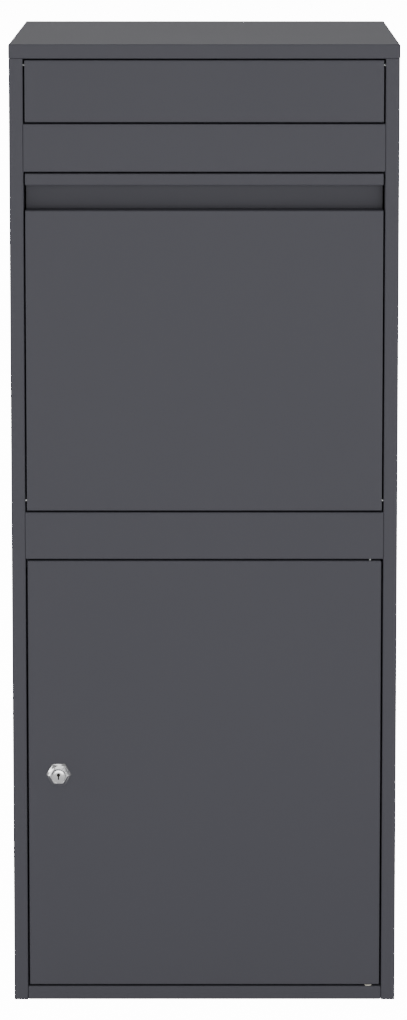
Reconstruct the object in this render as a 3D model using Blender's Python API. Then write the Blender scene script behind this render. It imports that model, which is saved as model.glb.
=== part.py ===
"""Parcel and letter box in folded sheet steel, with a push-in letter flap, a tilt-out parcel
hopper and a locking collection door. Metres; X is to the right, the front faces -Y, Z is up,
and the origin is the middle of the base."""
import math

import bmesh
import bpy
from mathutils import Matrix, Vector

# ---- Driving dimensions ----
WIDTH = 0.410  # over the roof cap
DEPTH = 0.380
HEIGHT = 1.030
SHEET = 0.0010  # thickness of every folded sheet
BEND = 0.0020  # outside radius of a fold
BEND_STEPS = 3
REVEAL = 0.0017  # shadow gap round the doors and the flap
TOUCH = 0.0003  # between pieces that rest on each other
ROOF_OVERHANG = 0.0003
ROOF_SKIRT = 0.015
ROOF_RETURN = 0.014
BASE_RIM = 0.015
BASE_RETURN = 0.012
SIDE_FLANGE = 0.015  # front flange beside the doors
SIDE_HEM = 0.016  # its return, behind which the lock cam catches
REAR_FLANGE = 0.022
TOP_FLANGE = 0.018
BAR_HEIGHT = 0.0505
UPPER_BAR_FLANGE = 0.018
MIDDLE_BAR_FLANGE = 0.012
BAR_LEG = 0.012  # turned-down stop behind a closed door
BUMPER_THICK = 0.0020
BUMPER_RADIUS = 0.0040
BUMPER_IN = 0.0597  # from the side flange's edge

FLAP_HEIGHT = 0.0652
FLAP_RETURN = 0.008
FLAP_LEG = 0.010  # hangs behind the upper bar and stops the flap from swinging out
FLAP_LEG_GAP = 0.0020
FLAP_TAB = (0.0085, 0.0118)  # depth and height of the tab that holds a flap pin
FLAP_AXIS_IN = 0.0042  # from the front face
FLAP_AXIS_DOWN = 0.0053  # from the flap's top edge

PARCEL_DOOR_HEIGHT = 0.3593
DOOR_RETURN = 0.015
LIP_HEIGHT = 0.0125
LIP_HEM = 0.0040
TROUGH_HEIGHT = 0.0266
TROUGH_DEPTH = 0.0210
HOPPER_AXIS_IN = 0.0040
HOPPER_AXIS_UP = 0.0107
HOPPER_TRAVEL = math.radians(50)
CHEEK_GAP = 0.0085  # between the top of a cheek and the trough above it
CHEEK_INSET = 0.0015  # from the door panel's end to the cheek's outer face
CHEEK_FLANGE = 0.012
EAR_CATCH = 0.015  # how far an ear reaches past the lower edge of its stop
EAR_SPAN = math.radians(5)
EAR_GAP = 0.0010
TRAY_SLOPE = math.radians(40)
TRAY_SHORT = 0.050  # how much shorter the tray is than a cheek's radius
TRAY_START_UP = 0.0211  # where the tray leaves the door, above the door's bottom edge
TRAY_LEG = 0.025
TRAY_LIP = 0.012
TRAY_WALL = 0.014
TRAY_WALL_INSET = 0.025
TRAY_RIVETS_IN = (0.070, 0.050)  # from the tray's two ends
TRAY_RIVET_UP = 0.008

LOWER_AXIS_IN = 0.0037
LOWER_AXIS_FROM_EDGE = 0.012
STOP_NOTCH = 0.040  # part of the middle bar's stop left off at the hinge

CHUTE_GAP = (0.0047, 0.0088)  # behind and below the flap's hanging leg
LETTER_CHANNEL = 0.039  # clear depth for letters between the chute and the back
CHUTE_SLOPE = math.radians(24.09)
CHUTE_LIP = 0.012
CHUTE_SKIRT = 0.100
CHUTE_SHOULDER = 0.014  # full-width part of the skirt; below it the cheeks swing past its ends
CHUTE_TABS_IN = (0.050, 0.065)  # from the slope's two ends
CHUTE_TAB = (0.026, 0.016)
GUARD_GAP = 0.0055  # between the guard and a cheek
GUARD_LAP = 0.045
GUARD_START = 0.090  # below the chute's rear fold
GUARD_REACH = 0.0526  # how far the guard's edge lies inside the cheeks' rear end
GUARD_DROP = 0.090
GUARD_HEM = 0.014
GUARD_RIVET_IN = 0.060

STUD_RADIUS = 0.0025
STUD_TAIL = 0.0015
NUT_FLATS = 0.008
NUT_THICK = 0.004
FIXING_IN = 0.070  # roof and base studs, from the front and the rear
ROOF_STUD_IN = 0.0075
BACK_STUD_ENDS = (0.150, 0.1647)  # the lowest from the ground, the highest from the top edge
BACK_STUD_IN = 0.013
FIXING_HOLE_RADIUS = 0.004
FIXING_HOLE_SEGMENTS = 20
WALL_HOLE_IN = 0.0847
WALL_HOLE_ENDS = (0.200, 0.1347)
FLOOR_HOLE_IN = 0.0747

PIN_RADIUS = 0.0015
PIN_HEAD_RADIUS = 0.0023
PIN_HEAD = 0.0012
PIN_TAIL = 0.0015
RIVET_RADIUS = 0.0020
RIVET_HEAD_RADIUS = 0.0032
RIVET_HEAD = 0.0008
WASHER_RADIUS = 0.0040

LOCK_X = 0.0323  # from the door's left edge
LOCK_Z = 0.2317  # above the door's bottom edge
LOCK_FLATS = 0.0245
LOCK_FRONT_FLATS = 0.0164
LOCK_SKIRT = 0.0008
LOCK_COLLAR = 0.0058
LOCK_SLEEVE_RADIUS = 0.0090
LOCK_SLEEVE = 0.0165
LOCK_HEAD_RADIUS = 0.0073
LOCK_HEAD_SEAT = 0.0030
LOCK_HEAD_FRONT = 0.0090
LOCK_PLUG_RADIUS = 0.0060
LOCK_STUB_RADIUS = 0.0030
LOCK_WASHER = (0.0120, 0.0010)
LOCK_NUT = (0.0230, 0.0040)
KEYHOLE = (0.0012, 0.0070, 0.0030)
CAM_THICK = 0.0025
CAM_WIDTH = 0.016
CAM_REACH = 0.045
CAM_STEPS = 8
CAM_NUT = (0.010, 0.003)

SMALL_SEGMENTS = 12
PIN_SEGMENTS = 16
LOCK_SEGMENTS = 36
NUT_SEGMENTS = 24
CHEEK_ARC_STEPS = 24
CHEEK_TOP_STEPS = 16
SMOOTH_ANGLE = math.radians(30)
MERGE = 1e-6

# ---- Places that follow from them ----
BODY_HALF = WIDTH / 2 - ROOF_OVERHANG
FRONT = ROOF_OVERHANG - DEPTH / 2
BACK = DEPTH / 2
INNER_HALF = BODY_HALF - SHEET
OPEN_HALF = BODY_HALF - SIDE_FLANGE
DOOR_HALF = OPEN_HALF - REVEAL
SIDE_TOP = HEIGHT - ROOF_SKIRT - TOUCH
SIDE_REAR = BACK - SHEET - TOUCH
TOP_FLANGE_UP = SIDE_TOP - TOUCH  # welded in just below the side wall's top edge
TOP_FLANGE_LOW = TOP_FLANGE_UP - SHEET
FLAP_TOP = HEIGHT - ROOF_SKIRT - REVEAL
FLAP_LOW = FLAP_TOP - FLAP_HEIGHT
UPPER_TOP = FLAP_LOW - REVEAL
UPPER_LOW = UPPER_TOP - BAR_HEIGHT
PARCEL_TOP = UPPER_LOW - REVEAL
PARCEL_LOW = PARCEL_TOP - PARCEL_DOOR_HEIGHT
MIDDLE_TOP = PARCEL_LOW - REVEAL
MIDDLE_LOW = MIDDLE_TOP - BAR_HEIGHT
LOWER_TOP = MIDDLE_LOW - REVEAL
LOWER_LOW = BASE_RIM + REVEAL
DOOR_BACK = FRONT + SHEET + TOUCH
UPPER_LEG_Y = FRONT + TROUGH_DEPTH + SHEET + BUMPER_THICK + 2 * TOUCH
MIDDLE_LEG_Y = FRONT + DOOR_RETURN + BUMPER_THICK + 2 * TOUCH
FLAP_LEG_Y = FRONT + UPPER_BAR_FLANGE + FLAP_LEG_GAP
BUMPER_X = OPEN_HALF - BUMPER_IN
FIXING_Y = DEPTH / 2 - FIXING_IN
BACK_STUD_LOW = BACK_STUD_ENDS[0]
BACK_STUD_TOP = SIDE_TOP - BACK_STUD_ENDS[1]
BACK_STUD_Z = (BACK_STUD_LOW, (BACK_STUD_LOW + BACK_STUD_TOP) / 2, BACK_STUD_TOP)
WALL_HOLE_X = BODY_HALF - WALL_HOLE_IN
WALL_HOLE_Z = (WALL_HOLE_ENDS[0], SIDE_TOP - WALL_HOLE_ENDS[1])
FLOOR_HOLE_X = BODY_HALF - FLOOR_HOLE_IN
CHEEK_OUT = DOOR_HALF - CHEEK_INSET
CHEEK_IN = CHEEK_OUT - SHEET
CHEEK_RADIUS = (PARCEL_DOOR_HEIGHT - LIP_HEIGHT - TROUGH_HEIGHT - SHEET - HOPPER_AXIS_UP
                - CHEEK_GAP)
TRAY_HALF = CHEEK_IN - TOUCH
TRAY_LENGTH = CHEEK_RADIUS - TRAY_SHORT
TRAY_RIVETS = (TRAY_RIVETS_IN[0], TRAY_LENGTH - TRAY_RIVETS_IN[1])
TRAY_DIRECTION = Vector((math.cos(TRAY_SLOPE), -math.sin(TRAY_SLOPE)))
GUARD_HALF = CHEEK_IN - GUARD_GAP
GUARD_RIVET_X = GUARD_HALF - GUARD_RIVET_IN
NUT_STACK = TOUCH + NUT_THICK + STUD_TAIL
FLAP_AXIS = Vector((0, FRONT + FLAP_AXIS_IN, FLAP_TOP - FLAP_AXIS_DOWN))
HOPPER_AXIS = Vector((0, FRONT + HOPPER_AXIS_IN, PARCEL_LOW + HOPPER_AXIS_UP))
LOWER_AXIS = Vector((DOOR_HALF - LOWER_AXIS_FROM_EDGE, FRONT + LOWER_AXIS_IN, LOWER_LOW))
LOCK_AXIS = Vector((LOCK_X - DOOR_HALF, FRONT, LOWER_LOW + LOCK_Z))
CHUTE_START = Vector((FLAP_LEG_Y + CHUTE_GAP[0], FLAP_LOW - FLAP_LEG - CHUTE_GAP[1]))
CHUTE_RUN = BACK - SHEET - LETTER_CHANNEL - CHUTE_START.x
CHUTE_END = CHUTE_START + Vector((CHUTE_RUN, -CHUTE_RUN * math.tan(CHUTE_SLOPE)))
CHUTE_TABS = (CHUTE_TABS_IN[0], (CHUTE_END - CHUTE_START).length - CHUTE_TABS_IN[1])

for leftover in list(bpy.data.objects):
    bpy.data.objects.remove(leftover, do_unlink=True)


# ---- Materials ----
def material(name, colour, roughness, metallic):
    made = bpy.data.materials.new(name)
    made.use_nodes = True
    shader = made.node_tree.nodes["Principled BSDF"]
    shader.inputs["Base Color"].default_value = (*colour, 1)
    shader.inputs["Roughness"].default_value = roughness
    shader.inputs["Metallic"].default_value = metallic
    return made


POWDER = material("anthracite_powder_coat", (0.075, 0.076, 0.090), 0.55, 0.0)
ZINC = material("zinc_plated_steel", (0.62, 0.62, 0.60), 0.35, 1.0)
CHROME = material("lock_chrome", (0.78, 0.78, 0.79), 0.15, 1.0)
RUBBER = material("black_rubber", (0.02, 0.02, 0.02), 0.85, 0.0)
NYLON = material("natural_nylon", (0.80, 0.78, 0.70), 0.50, 0.0)


# ---- Modelling helpers ----
def finish_mesh(name, bm, smooth=False):
    bmesh.ops.remove_doubles(bm, verts=bm.verts, dist=MERGE)
    bmesh.ops.recalc_face_normals(bm, faces=bm.faces)
    mesh = bpy.data.meshes.new(name)
    bm.to_mesh(mesh)
    bm.free()
    if smooth:
        mesh.shade_smooth()
        mesh.set_sharp_from_angle(angle=SMOOTH_ANGLE)
    return mesh


def add_object(name, mesh, finish, pivot=None):
    """Puts a mesh modelled in the cabinet's frame into the scene, carried by its pivot."""
    made = bpy.data.objects.new(name, mesh)
    mesh.materials.append(finish)
    bpy.context.scene.collection.objects.link(made)
    if pivot:
        made.parent = pivot
        made.location = -pivot.location
    return made


def place_copy(name, mesh, location, direction=Vector((0, 0, 1)), pivot=None):
    """One more object on a mesh modelled along +Z, turned to point along direction."""
    made = bpy.data.objects.new(name, mesh)
    bpy.context.scene.collection.objects.link(made)
    made.rotation_mode = "QUATERNION"
    made.rotation_quaternion = Vector((0, 0, 1)).rotation_difference(direction)
    made.location = location
    if pivot:
        made.parent = pivot
        made.location = Vector(location) - pivot.location
    return made


def pivot_empty(name, location):
    empty = bpy.data.objects.new(name, None)
    empty.location = location
    bpy.context.scene.collection.objects.link(empty)
    return empty


def helper(name, bm, pivot=None):
    made = add_object(name, finish_mesh(name, bm), POWDER, pivot)
    made.hide_render = True
    made.display_type = "WIRE"
    return made


def combine(target, operation, bm):
    """Joins welded-on shapes to a sheet, or cuts its holes."""
    number = len(target.modifiers) + 1
    step = target.modifiers.new(f"{operation.lower()}_{number}", "BOOLEAN")
    step.operation = operation
    step.solver = "EXACT"
    step.use_self = True
    step.object = helper(f"{target.name}_{operation.lower()}_{number}", bm, target.parent)


def add_box(bm, low, high, turn=None):
    """A block between two corners; turn is a rotation about its own middle."""
    size = Vector(high) - Vector(low)
    middle = Matrix.Translation((Vector(low) + Vector(high)) / 2)
    matrix = middle @ (turn or Matrix()) @ Matrix.Diagonal((*size, 1))
    bmesh.ops.create_cube(bm, size=1, matrix=matrix)


def add_rod(bm, start, end, radius, segments=SMALL_SEGMENTS):
    start = Vector(start)
    run = Vector(end) - start
    turn = Vector((0, 0, 1)).rotation_difference(run).to_matrix().to_4x4()
    matrix = Matrix.Translation(start + run / 2) @ turn
    bmesh.ops.create_cone(bm, cap_ends=True, segments=segments, radius1=radius, radius2=radius,
                          depth=run.length, matrix=matrix)


def left_of(direction):
    return Vector((-direction.y, direction.x))


def folded_outline(skin, side):
    """Cross-section of a sheet folded along a line on one of its faces.

    The material lies to the left of the line for side 1 and to its right for side -1."""
    skin = [Vector(point) for point in skin]
    runs = [(b - a).normalized() for a, b in zip(skin, skin[1:])]
    shift = side * SHEET / 2
    spine = []
    for index, point in enumerate(skin):
        before = left_of(runs[max(index - 1, 0)])
        after = left_of(runs[min(index, len(runs) - 1)])
        spine.append(point + (before + after) * shift / (1 + before.dot(after)))
    radius = BEND - SHEET / 2
    points = [spine[0]]
    normals = [left_of(runs[0])]
    for index in range(1, len(spine) - 1):
        start, end = runs[index - 1], runs[index]
        turn = math.atan2(start.cross(end), start.dot(end))
        hand = math.copysign(1, turn)
        tangent = radius * math.tan(abs(turn) / 2)
        centre = spine[index] - start * tangent + left_of(start) * radius * hand
        for step in range(BEND_STEPS + 1):
            normal = left_of(start).copy()
            normal.rotate(Matrix.Rotation(turn * step / BEND_STEPS, 2))
            points.append(centre - normal * radius * hand)
            normals.append(normal)
    points.append(spine[-1])
    normals.append(left_of(runs[-1]))
    half = SHEET / 2
    upper = [point + normal * half for point, normal in zip(points, normals)]
    lower = [point - normal * half for point, normal in zip(points, normals)]
    return upper + lower[::-1]


def extrude_outline(outline, to_space, travel):
    """A prism: the 2-D outline placed by to_space, pushed along travel."""
    bm = bmesh.new()
    face = bm.faces.new([bm.verts.new(to_space(point)) for point in outline])
    pushed = bmesh.ops.extrude_face_region(bm, geom=[face])["geom"]
    moved = [item for item in pushed if isinstance(item, bmesh.types.BMVert)]
    bmesh.ops.translate(bm, verts=moved, vec=travel)
    return bm


def folded_across(skin, side, half):
    """A sheet folded in the Y-Z plane that runs across the cabinet."""
    return extrude_outline(folded_outline(skin, side), lambda p: (-half, p.x, p.y),
                           (2 * half, 0, 0))


def inset_outline(outline, distance):
    points = [Vector(point) for point in outline]
    moved = []
    for index, point in enumerate(points):
        before = left_of((point - points[index - 1]).normalized())
        after = left_of((points[(index + 1) % len(points)] - point).normalized())
        moved.append(point + (before + after) * distance / (1 + before.dot(after)))
    return moved


def quarter(centre, radius, first, last):
    """Points of a quarter circle between two angles in degrees, as inset and height."""
    angles = [math.radians(first + (last - first) * step / BEND_STEPS)
              for step in range(BEND_STEPS + 1)]
    return [(centre[0] + radius * math.cos(a), centre[1] + radius * math.sin(a)) for a in angles]


def folded_pan(outline, rim, lip, to_space):
    """A tray: a flat face with a rim folded up all round and, past it, a return lip."""
    inner = BEND - SHEET
    section = quarter((BEND, BEND), BEND, 270, 180)
    section += quarter((BEND, rim - BEND), BEND, 180, 90)
    section += [(lip, rim), (lip, rim - SHEET)]
    section += quarter((BEND, rim - BEND), inner, 90, 180)
    section += quarter((BEND, BEND), inner, 180, 270)
    bm = bmesh.new()
    rings = []
    for inset, height in section:
        ring = inset_outline(outline, inset)
        rings.append([bm.verts.new(to_space(point, height)) for point in ring])
    for low, high in zip(rings, rings[1:]):
        for index in range(len(low)):
            corner = (index + 1) % len(low)
            bm.faces.new((low[index], low[corner], high[corner], high[index]))
    bm.faces.new(rings[0][::-1])
    bm.faces.new(rings[-1])
    return bm


def turned(section, segments, ring=False):
    """A body of revolution about Z. Each point is radius, height and whether it follows a
    hexagon, whose half width across the flats is then the radius."""
    bm = bmesh.new()
    rings = []
    for radius, height, hexagonal in section:
        verts = []
        for index in range(segments):
            angle = math.tau * index / segments
            off_flat = (angle + math.pi / 6) % (math.pi / 3) - math.pi / 6
            reach = radius / math.cos(math.pi / 6 - abs(off_flat)) if hexagonal else radius
            verts.append(bm.verts.new((reach * math.cos(angle), reach * math.sin(angle), height)))
        rings.append(verts)
    pairs = list(zip(rings, rings[1:]))
    if ring:
        pairs.append((rings[-1], rings[0]))
    else:
        bm.faces.new(rings[0][::-1])
        bm.faces.new(rings[-1])
    for low, high in pairs:
        for index in range(segments):
            corner = (index + 1) % segments
            bm.faces.new((low[index], low[corner], high[corner], high[index]))
    return bm


def round_points(section):
    return [(radius, height, False) for radius, height in section]


def ring_points(bore, outer, thick, hexagonal=False):
    return [(bore, 0, False), (outer, 0, hexagonal), (outer, thick, hexagonal), (bore, thick, False)]


# ---- Fasteners and small turned pieces, modelled once and placed many times ----
def make_fastener(name, section, segments, finish, ring=False):
    mesh = finish_mesh(name, turned(section, segments, ring), smooth=True)
    mesh.materials.append(finish)
    return mesh


def pin_mesh(name, length):
    """A headed hinge pin: the head is at its foot."""
    section = [(PIN_HEAD_RADIUS, 0), (PIN_HEAD_RADIUS, PIN_HEAD), (PIN_RADIUS, PIN_HEAD),
               (PIN_RADIUS, length)]
    return make_fastener(name, round_points(section), PIN_SEGMENTS, ZINC)


def rivet_mesh(name, grip):
    """A rivet with a formed head at each end of what it grips."""
    top = RIVET_HEAD + grip + 2 * TOUCH
    section = [(RIVET_HEAD_RADIUS, 0), (RIVET_HEAD_RADIUS, RIVET_HEAD), (RIVET_RADIUS, RIVET_HEAD),
               (RIVET_RADIUS, top), (RIVET_HEAD_RADIUS, top), (RIVET_HEAD_RADIUS, top + RIVET_HEAD)]
    return make_fastener(name, round_points(section), SMALL_SEGMENTS, ZINC)


NUT_RING = ring_points(STUD_RADIUS + TOUCH, NUT_FLATS / 2, NUT_THICK, hexagonal=True)
NUT_MESH = make_fastener("stud_nut", NUT_RING, SMALL_SEGMENTS, ZINC, ring=True)
BUMPER_DISC = round_points([(BUMPER_RADIUS, 0), (BUMPER_RADIUS, BUMPER_THICK)])
BUMPER_MESH = make_fastener("bumper", BUMPER_DISC, PIN_SEGMENTS, RUBBER)


# ---- Cabinet shell ----
def side_panel(name, side):
    """Side wall with its front flange and hem, rear flange, top flange and welded studs."""
    skin = [(OPEN_HALF, FRONT + SIDE_HEM), (OPEN_HALF, FRONT), (BODY_HALF, FRONT),
            (BODY_HALF, SIDE_REAR), (BODY_HALF - REAR_FLANGE, SIDE_REAR)]
    bm = extrude_outline(folded_outline(skin, 1), lambda p: (side * p.x, p.y, 0), (0, 0, SIDE_TOP))
    panel = add_object(name, finish_mesh(name, bm), POWDER)

    welded = bmesh.new()
    middle = side * (INNER_HALF + SHEET / 2)
    flange_front = FRONT + SIDE_HEM + BAR_LEG
    add_box(welded, (side * (INNER_HALF - TOP_FLANGE), flange_front, TOP_FLANGE_LOW),
            (middle, SIDE_REAR - REAR_FLANGE, TOP_FLANGE_UP))
    rim_in = side * (INNER_HALF - TOUCH - SHEET - NUT_STACK)
    for y in (-FIXING_Y, FIXING_Y):
        add_rod(welded, (middle, y, BASE_RIM / 2), (rim_in, y, BASE_RIM / 2), STUD_RADIUS)
    for along in CHUTE_TABS:
        y, z = chute_stud(along)
        add_rod(welded, (middle, y, z), (rim_in, y, z), STUD_RADIUS)
    combine(panel, "UNION", welded)

    holes = bmesh.new()
    bore = PIN_RADIUS + TOUCH
    for axis in (FLAP_AXIS, HOPPER_AXIS):
        add_rod(holes, (side * (OPEN_HALF - SHEET), axis.y, axis.z),
                (side * (OPEN_HALF + 2 * SHEET), axis.y, axis.z), bore)
    for z in BACK_STUD_Z:
        x = side * (BODY_HALF - BACK_STUD_IN)
        add_rod(holes, (x, SIDE_REAR - 2 * SHEET, z), (x, SIDE_REAR + SHEET, z), STUD_RADIUS + TOUCH)
    for y in (-FIXING_Y, FIXING_Y):
        x = side * (BODY_HALF - ROOF_STUD_IN)
        add_rod(holes, (x, y, TOP_FLANGE_LOW - SHEET), (x, y, SIDE_TOP + SHEET), STUD_RADIUS + TOUCH)
    combine(panel, "DIFFERENCE", holes)


def chute_stud(along):
    """Y and Z of a stud that holds the chute, along its slope."""
    slope = (CHUTE_END - CHUTE_START).normalized()
    point = CHUTE_START + slope * along + left_of(slope) * CHUTE_TAB[1] / 2
    return point.x, point.y


def back_panel():
    bm = bmesh.new()
    add_box(bm, (-BODY_HALF, BACK - SHEET, 0), (BODY_HALF, BACK, SIDE_TOP))
    panel = add_object("back_panel", finish_mesh("back_panel", bm), POWDER)
    studs = bmesh.new()
    for z in BACK_STUD_Z:
        for x in (BACK_STUD_IN - BODY_HALF, BODY_HALF - BACK_STUD_IN):
            add_rod(studs, (x, BACK - SHEET / 2, z), (x, SIDE_REAR - SHEET - NUT_STACK, z), STUD_RADIUS)
    combine(panel, "UNION", studs)
    holes = bmesh.new()
    for z in WALL_HOLE_Z:
        for x in (-WALL_HOLE_X, WALL_HOLE_X):
            add_rod(holes, (x, BACK - 2 * SHEET, z), (x, BACK + SHEET, z), FIXING_HOLE_RADIUS,
                    FIXING_HOLE_SEGMENTS)
    combine(panel, "DIFFERENCE", holes)


def roof_cap():
    outline = [(-WIDTH / 2, -DEPTH / 2), (WIDTH / 2, -DEPTH / 2), (WIDTH / 2, BACK), (-WIDTH / 2, BACK)]
    bm = folded_pan(outline, ROOF_SKIRT, ROOF_RETURN, lambda p, h: (p.x, p.y, HEIGHT - h))
    cap = add_object("roof_cap", finish_mesh("roof_cap", bm), POWDER)
    studs = bmesh.new()
    for x in (ROOF_STUD_IN - BODY_HALF, BODY_HALF - ROOF_STUD_IN):
        for y in (-FIXING_Y, FIXING_Y):
            add_rod(studs, (x, y, HEIGHT - ROOF_SKIRT + SHEET / 2), (x, y, TOP_FLANGE_LOW - NUT_STACK),
                    STUD_RADIUS)
    combine(cap, "UNION", studs)


def base_pan():
    """Floor pan: its front rim shows between the side flanges, its corners step round the hems."""
    front_half = OPEN_HALF - TOUCH
    half = INNER_HALF - TOUCH
    step = FRONT + SIDE_HEM + TOUCH
    rear = SIDE_REAR - SHEET - TOUCH
    outline = [(-front_half, FRONT), (front_half, FRONT), (front_half, step), (half, step),
               (half, rear), (-half, rear), (-half, step), (-front_half, step)]
    bm = folded_pan(outline, BASE_RIM, BASE_RETURN, lambda p, h: (p.x, p.y, h))
    pan = add_object("base_pan", finish_mesh("base_pan", bm), POWDER)
    holes = bmesh.new()
    for side in (-1, 1):
        for y in (-FIXING_Y, FIXING_Y):
            add_rod(holes, (side * (half - 2 * SHEET), y, BASE_RIM / 2),
                    (side * (half + SHEET), y, BASE_RIM / 2), STUD_RADIUS + TOUCH)
            add_rod(holes, (side * FLOOR_HOLE_X, y, -SHEET), (side * FLOOR_HOLE_X, y, 2 * SHEET),
                    FIXING_HOLE_RADIUS, FIXING_HOLE_SEGMENTS)
    add_rod(holes, (LOWER_AXIS.x, LOWER_AXIS.y, BASE_RIM - 2 * SHEET),
            (LOWER_AXIS.x, LOWER_AXIS.y, BASE_RIM + SHEET), PIN_RADIUS + TOUCH)
    combine(pan, "DIFFERENCE", holes)


def crossbar(name, low, top, flange, leg_y):
    """Channel between the side flanges, with a leg turned down as the stop of the door below."""
    skin = [(FRONT + flange, top), (FRONT, top), (FRONT, low), (leg_y, low), (leg_y, low - BAR_LEG)]
    bm = folded_across(skin, 1, OPEN_HALF - TOUCH)
    return add_object(name, finish_mesh(name, bm), POWDER)


def bar_bumpers(name, leg_y, low, pivot=None):
    for label, x in (("left", -BUMPER_X), ("right", BUMPER_X)):
        place_copy(f"{name}_bumper_{label}", BUMPER_MESH, (x, leg_y - TOUCH, low - BAR_LEG / 2),
                   Vector((0, -1, 0)), pivot)


def letter_chute():
    """Guides letters over the hopper to the rear, then down behind the guard."""
    skin = [CHUTE_START - Vector((0, CHUTE_LIP)), CHUTE_START, CHUTE_END,
            CHUTE_END - Vector((0, CHUTE_SKIRT))]
    half = INNER_HALF - TOUCH
    bm = folded_across(skin, -1, half)
    chute = add_object("letter_chute", finish_mesh("letter_chute", bm), POWDER)
    slope = (CHUTE_END - CHUTE_START).normalized()
    tilt = Matrix.Rotation(math.atan2(slope.y, slope.x), 4, "X")
    tabs = bmesh.new()
    holes = bmesh.new()
    for side in (-1, 1):
        for along in CHUTE_TABS:
            middle = CHUTE_START + slope * along + left_of(slope) * (CHUTE_TAB[1] - SHEET / 2) / 2
            size = Vector((SHEET, CHUTE_TAB[0], CHUTE_TAB[1] + SHEET / 2)) / 2
            centre = Vector((side * (half - SHEET / 2), middle.x, middle.y))
            add_box(tabs, centre - size, centre + size, tilt)
            y, z = chute_stud(along)
            add_rod(holes, (side * (half - 2 * SHEET), y, z), (side * (half + SHEET), y, z),
                    STUD_RADIUS + TOUCH)
        notch_low = (side * GUARD_HALF, CHUTE_END.x - 2 * SHEET, CHUTE_END.y - CHUTE_SKIRT - SHEET)
        notch_high = (side * (half + SHEET), CHUTE_END.x + SHEET, CHUTE_END.y - CHUTE_SHOULDER)
        add_box(holes, notch_low, notch_high)
    rivet_z = CHUTE_END.y - GUARD_START + GUARD_LAP / 2
    for x in (-GUARD_RIVET_X, GUARD_RIVET_X):
        add_rod(holes, (x, CHUTE_END.x - 2 * SHEET, rivet_z), (x, CHUTE_END.x + SHEET, rivet_z),
                RIVET_RADIUS + TOUCH)
    combine(chute, "UNION", tabs)
    combine(chute, "DIFFERENCE", holes)


def parcel_guard():
    """Sheet riveted to the chute that keeps a hand from reaching past the open hopper."""
    rear = CHUTE_END.x - SHEET - TOUCH
    fold = Vector((rear, CHUTE_END.y - GUARD_START))
    edge = Vector((HOPPER_AXIS.y + CHEEK_RADIUS - GUARD_REACH, fold.y - GUARD_DROP))
    skin = [fold + Vector((0, GUARD_LAP)), fold, edge, edge - Vector((0, GUARD_HEM))]
    mesh = finish_mesh("parcel_guard", folded_across(skin, -1, GUARD_HALF))
    guard = add_object("parcel_guard", mesh, POWDER)
    rivet = rivet_mesh("guard_rivet", 2 * SHEET + TOUCH)
    holes = bmesh.new()
    z = fold.y + GUARD_LAP / 2
    for label, x in (("left", -GUARD_RIVET_X), ("right", GUARD_RIVET_X)):
        add_rod(holes, (x, rear - 2 * SHEET, z), (x, rear + SHEET / 2, z), RIVET_RADIUS + TOUCH)
        foot = rear - SHEET - TOUCH - RIVET_HEAD
        place_copy(f"guard_rivet_{label}", rivet, (x, foot, z), Vector((0, 1, 0)))
    combine(guard, "DIFFERENCE", holes)


def shell_nuts():
    """Nuts on the studs that are welded inside the roof, the sides and the back."""
    count = {"roof": 0, "base": 0, "chute": 0, "back": 0}

    def nut(group, location, direction):
        count[group] += 1
        place_copy(f"{group}_nut_{count[group]}", NUT_MESH, location, Vector(direction))

    for side in (-1, 1):
        for y in (-FIXING_Y, FIXING_Y):
            nut("roof", (side * (BODY_HALF - ROOF_STUD_IN), y, TOP_FLANGE_LOW - TOUCH), (0, 0, -1))
            nut("base", (side * (INNER_HALF - 2 * TOUCH - SHEET), y, BASE_RIM / 2), (-side, 0, 0))
        for along in CHUTE_TABS:
            y, z = chute_stud(along)
            nut("chute", (side * (INNER_HALF - 2 * TOUCH - SHEET), y, z), (-side, 0, 0))
        for z in BACK_STUD_Z:
            nut("back", (side * (BODY_HALF - BACK_STUD_IN), SIDE_REAR - SHEET - TOUCH, z), (0, -1, 0))


# ---- Letter flap: hung at its top edge, pushed inwards, falls shut ----
def letter_flap():
    pivot = pivot_empty("letter_flap_axis", FLAP_AXIS)
    skin = [(FRONT + FLAP_RETURN, FLAP_TOP), (FRONT, FLAP_TOP), (FRONT, FLAP_LOW),
            (FLAP_LEG_Y, FLAP_LOW), (FLAP_LEG_Y, FLAP_LOW - FLAP_LEG)]
    mesh = finish_mesh("letter_flap", folded_across(skin, 1, DOOR_HALF))
    flap = add_object("letter_flap", mesh, POWDER, pivot)
    tabs = bmesh.new()
    holes = bmesh.new()
    length = PIN_HEAD + TOUCH + SHEET + REVEAL + SHEET + PIN_TAIL
    pin = pin_mesh("flap_pin", length)
    tab_y = FRONT + SHEET / 2
    tab_z = FLAP_TOP - SHEET / 2
    for label, side in (("left", -1), ("right", 1)):
        add_box(tabs, (side * (DOOR_HALF - SHEET), tab_y, tab_z - FLAP_TAB[1]),
                (side * DOOR_HALF, tab_y + FLAP_TAB[0], tab_z))
        add_rod(holes, (side * (DOOR_HALF - 2 * SHEET), FLAP_AXIS.y, FLAP_AXIS.z),
                (side * (DOOR_HALF + SHEET), FLAP_AXIS.y, FLAP_AXIS.z), PIN_RADIUS + TOUCH)
        head = (side * (DOOR_HALF - SHEET - TOUCH - PIN_HEAD), FLAP_AXIS.y, FLAP_AXIS.z)
        place_copy(f"letter_flap_pin_{label}", pin, head, Vector((side, 0, 0)), pivot)
    combine(flap, "UNION", tabs)
    combine(flap, "DIFFERENCE", holes)


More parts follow.
